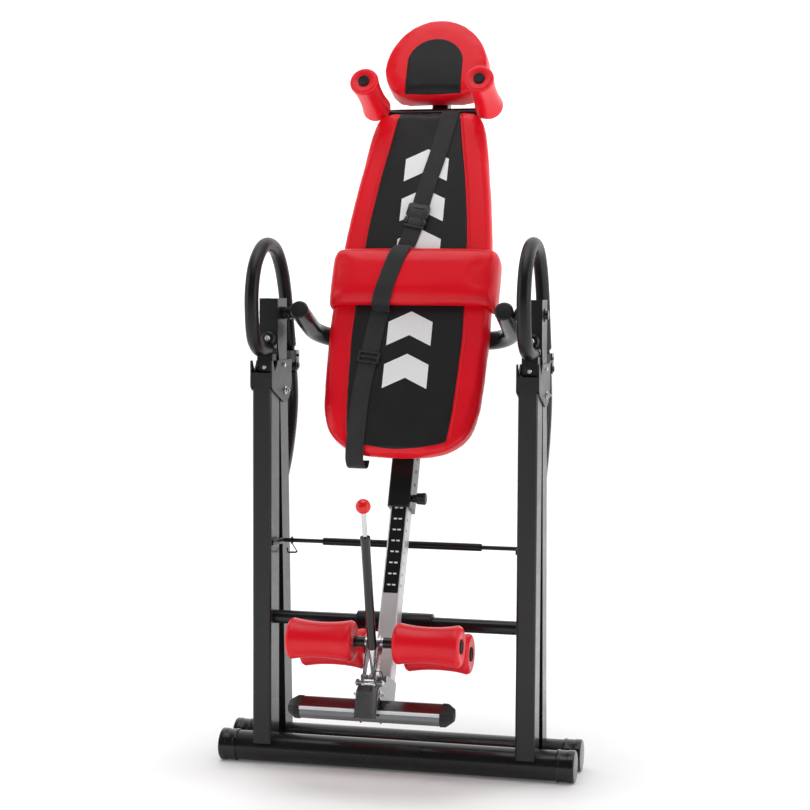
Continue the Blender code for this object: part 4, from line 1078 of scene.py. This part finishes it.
# --- shoulder bar and rollers
def roller_profile(length, ends, waist, bore, edge=0.009, dish=0.0022):
    """Foam roller ring: dished end faces, full rounded shoulders and a narrow waist."""
    start = [(dish, bore), (dish * 0.5, bore + (ends - bore) * 0.35)]
    for i in range(8, -1, -1):
        a = radians(90 * i / 8)
        start.append((edge * (1 - sin(a)), ends - edge * (1 - cos(a)) * 0.9))
    barrel = [(edge + t * (length - 2 * edge), waist + (ends - waist) * abs(2 * t - 1) ** 2.2)
        for t in (i / 16 for i in range(1, 16))]
    return start + barrel + [(length - along, radius) for along, radius in reversed(start)]


path = softened([bed(-SHOULDER_X, SHOULDER[0], 0.181), bed(-SHOULDER_X, *SHOULDER),
    bed(SHOULDER_X, *SHOULDER), bed(SHOULDER_X, SHOULDER[0], 0.181)], 0.02, 12)
piece("shoulder_tube", sweep(path, 0.0114, U_DIR, 36, bore=0.0095), "steel", "bed",
    ["shoulder_bar"])
for side, s in SIDES.items():
    start = bed(s * SHOULDER_X, SHOULDER[0], 0.0545)
    roll = piece(f"shoulder_foam_{side}", lathe(roller_profile(0.127, 0.0305, 0.0262, 0.0117,
        0.007), start, N_DIR, 56, bore=True), "roller", "bed", [f"shoulder_roller_{side}"],
        sharp=60)
    plug = lathe(turned(mm(-4, 9, 0.4, 9.4, 0.4, 11.4, 1.8, 11.4, 2.6, 9.8, 1, 8, 1, 0.1), 0.0006),
        bed(s * SHOULDER_X, SHOULDER[0], 0.181), N_DIR, 36)
    piece(f"shoulder_plug_{side}", plug, "plug", "bed")

post = lambda p, q, h: bed(p, h, q)
plug = prism(rounded(0.0174, 0.0169, 0.0032, 0, -0.02), post, 1.0852, 1.0885)
piece("head_post_plug", bevelled(plug, 0.0012, 3), "plastic", "headrest")
collar = bmesh.new()
outer_ring = rounded(0.0228, 0.0293, 0.0042, 0, -0.02015)
inner_ring = rounded(0.018, 0.0175, 0.0034, 0, -0.02)
loops = [[collar.verts.new(bed(p, u, q)) for p, q in ring] for ring, u in ((outer_ring, 0.9252),
    (outer_ring, 0.928), (inner_ring, 0.929), (inner_ring, 0.9252))]
bridge(collar, loops, closed=True)
piece("spine_collar", bevelled(collar, 0.0006, 2), "plastic", "bed")

# --- boom: scale strip and knob
STRIP_LOW, STRIP_HIGH, STRIP_HALF, ROW_TOP, ROW_PITCH = -0.09, 0.09, 0.0148, 0.0848, 0.0226
strip = block(rounded(STRIP_HALF, (STRIP_HIGH - STRIP_LOW) / 2, 0.0012, 0,
    (STRIP_HIGH + STRIP_LOW) / 2), bed, 0.00005, 0.0004, 0.0001, 1)
piece("scale_strip", strip, "scale", "boom")
dashes = []
for k in range(8):
    u = ROW_TOP - ROW_PITCH * k
    for x in (-0.005, 0.005):
        dashes.append(prism(rounded(0.0035, 0.0015, 0.0008, x, u, 3), bed, 0.0004, 0.00055))
joined("scale_marks", dashes, "dash", "boom")

ribs = 18
knob = turned(mm(0, 0.1, 0, 3, 0.5, 4.8, 5.8, 4.8, 5.8, 7.9, 13.5, 7.9, 15.5, 10.8, 31, 11.8, 33.2,
    10.8, 34.2, 7.8, 34.2, 0.1), 0.0008)
bm = lathe(knob, bed(BOOM_HALF_W + 0.0004, *KNOB), X_DIR, ribs * 6)
axis_point = bed(0, *KNOB)
for v in bm.verts:
    if v.co.x - (BOOM_HALF_W + 0.0004) > 0.015:
        d = Vector((0, v.co.y - axis_point.y, v.co.z - axis_point.z))
        if d.length > 0.01:
            v.co += d.normalized() * 0.00045 * cos(ribs * atan2(d.z, d.y))
piece("pull_knob", bm, "plastic", "knob", ["height_knob"], sharp=40)

# --- ankle rollers and bars
for row, spot, body in (("front", FRONT_ANKLE, "clamp"), ("rear", REAR_ANKLE, "boom")):
    for side, s in SIDES.items():
        roll = piece(f"{row}_ankle_foam_{side}", lathe(roller_profile(ANKLE_OUT - ANKLE_IN, ANKLE_R,
            0.0343, ANKLE_BAR_R + 0.0002), bed(s * ANKLE_IN, *spot), (s, 0, 0), 64, bore=True),
            "roller", body, [f"{row}_ankle_roller_{side}"], sharp=60)
        plug = lathe(turned(mm(168.3, 8.5, 168.5, 14.2, 170.6, 14.2, 171.3, 12, 170.3, 9.5, 170.3,
            0.1), 0.0007), bed(0, *spot), (s, 0, 0), 40)
        piece(f"{row}_ankle_plug_{side}", plug, "plug", body)
piece("rear_ankle_tube", lathe(turned([(-0.1683, 0.0001), (-0.1683, ANKLE_BAR_R),
    (0.1683, ANKLE_BAR_R), (0.1683, 0.0001)], 0.001), bed(0, *REAR_ANKLE), X_DIR, 36), "steel",
    "boom", ["rear_ankle_bar"])
sleeves = [lathe([(s * 0.0178, ANKLE_BAR_R + 0.0008), (s * 0.04, ANKLE_BAR_R + 0.0008)],
    bed(0, *FRONT_ANKLE), X_DIR, 36) for s in (-1, 1)]
joined("front_ankle_sleeves", sleeves, "steel", "clamp")

# --- clamp lever
lever_dir = sin(LEVER_LEAN) * N_DIR + cos(LEVER_LEAN) * U_DIR
origin = bed(0, *LEVER_PIN)
foot = lathe(turned(mm(-8.5, 4.3, -8.5, 9.5, 8.5, 9.5, 8.5, 4.3), 0.0008), origin, X_DIR, 32,
    bore=True)
stem = lathe(turned(mm(6, 0.1, 6, 6.2, 62.5, 6.2, 62.5, 6.1), 0.0004), origin, lever_dir, 32)
joined("lever_foot", [foot, stem], "zinc", "lever", slot="brushed_steel")
tube = lathe(turned(mm(62.2, 0.1, 62.2, 8.4, 63.2, 8.8, 285, 8.8, 285, 10, 291.5, 9.8, 292, 6, 292,
    0.1), 0.0006), origin, lever_dir, 40)
piece("lever_tube", tube, "lever", "lever", ["clamp_lever"])
piece("lever_rod", lathe([(0.2915, 0.0045), (LEVER_LEN - 0.01, 0.0045)], origin, lever_dir, 28),
    "chrome", "lever", slot="chrome")
ball = mm(-12, 0.1, -12, 6.2)
ball += [(-0.0142 * cos(radians(a)), 0.0142 * sin(radians(a)))
    for a in range(34, 180, 6)] + [(0.0142, 0.0001)]
piece("lever_knob", lathe(ball, origin + lever_dir * LEVER_LEN, lever_dir, 48), "ball", "lever",
    ["lever_ball"], sharp=60)

# --- foot bracket trim
FOOT_HALF, FOOT_CAP = 0.162, 0.0247
FOOT_SECTION = mm(17, 17, 11, 17, -19.5, 4, -20, -11, -12, -20.5, 10, -20.5, 21.5, -11, 21.5, 11)
foot_axis = bed(0, *FOOTREST) + Vector((0.0035, 0.004, 0))


def foot_ring(grow, radius):
    """Outline of the footrest in the vertical plane, grown and with its corners rounded."""
    points = [Vector(p) * grow for p in FOOT_SECTION]
    middle = (points[0] + points[-1]) / 2
    return turned([middle] + points + [middle], radius, 8)[:-1]


def foot_place(y, z, x):
    return foot_axis + Vector((x, y, z))


piece("footrest_bar", prism(foot_ring(1.0, 0.006), foot_place, -FOOT_HALF + FOOT_CAP,
    FOOT_HALF - FOOT_CAP), "foot_tube", "boom", ["footrest_tube"], sharp=30)
# Painted highlight: a thin strip of light brushed steel along the footrest's upper front edge
# stands in for the glint seen there.
edge = prism(mm(-20.3, 3.5, -19, 4.6, -18.5, 2, -19, -1.2, -20.6, -1.2), foot_place,
    -FOOT_HALF + FOOT_CAP, FOOT_HALF - FOOT_CAP)
piece("footrest_painted_highlight", edge, "boom", "boom")
for side, s in SIDES.items():
    rings = [(foot_ring(1.045, 0.0035), s * (FOOT_HALF - FOOT_CAP - 0.0005)),
        (foot_ring(1.045, 0.0035), s * (FOOT_HALF - 0.016)), (foot_ring(1.0, 0.0035),
        s * (FOOT_HALF - 0.013)), (foot_ring(0.6, 0.0025), s * (FOOT_HALF - 0.001)),
        (foot_ring(0.52, 0.002), s * FOOT_HALF)]
    piece(f"footrest_end_{side}", loft(rings, foot_place), "foot_cap", "boom",
        [f"footrest_cap_{side}"], sharp=22)

PLATE_X = BOOM_HALF_W + 0.0003 + 0.003
for label, s in SIDES.items():
    hex_bolt(f"yoke_bolt_{label}", bed(s * (PLATE_X + 0.0041), *YOKE_PIN), (s, 0, 0), "boom",
        0.0085, 0.0026)
    nut_end(f"bracket_bolt_{label}", bed(s * (PLATE_X + 0.0001), -0.3075, 0.084), (s, 0, 0), "boom",
        0.0095)
ring_centre = bed(0.02, -0.276, 0.108)
ring_side = (N_DIR * 0.25 + U_DIR).normalized()
ring_path = [ring_centre + 0.009 * (cos(radians(a)) * X_DIR + sin(radians(a)) * ring_side)
    for a in range(-160, 191, 10)]
piece("pin_ring", sweep(ring_path, 0.0009, X_DIR.cross(ring_side), 10), "lever", "boom",
    slot="chrome")
for k, u in enumerate((0.1395, 0.167, 0.1945)):
    hole = lathe(turned(mm(0, 0.1, 0, 3.6, 0.4, 3.6, 0.5, 2.8, 0.1, 2, 0.1, 0.1), 0.0001, 1),
        bed(SPINE_HALF_W, u, -0.02), X_DIR, 24)
    piece(f"spine_hole_{k}", hole, "plug", "bed")
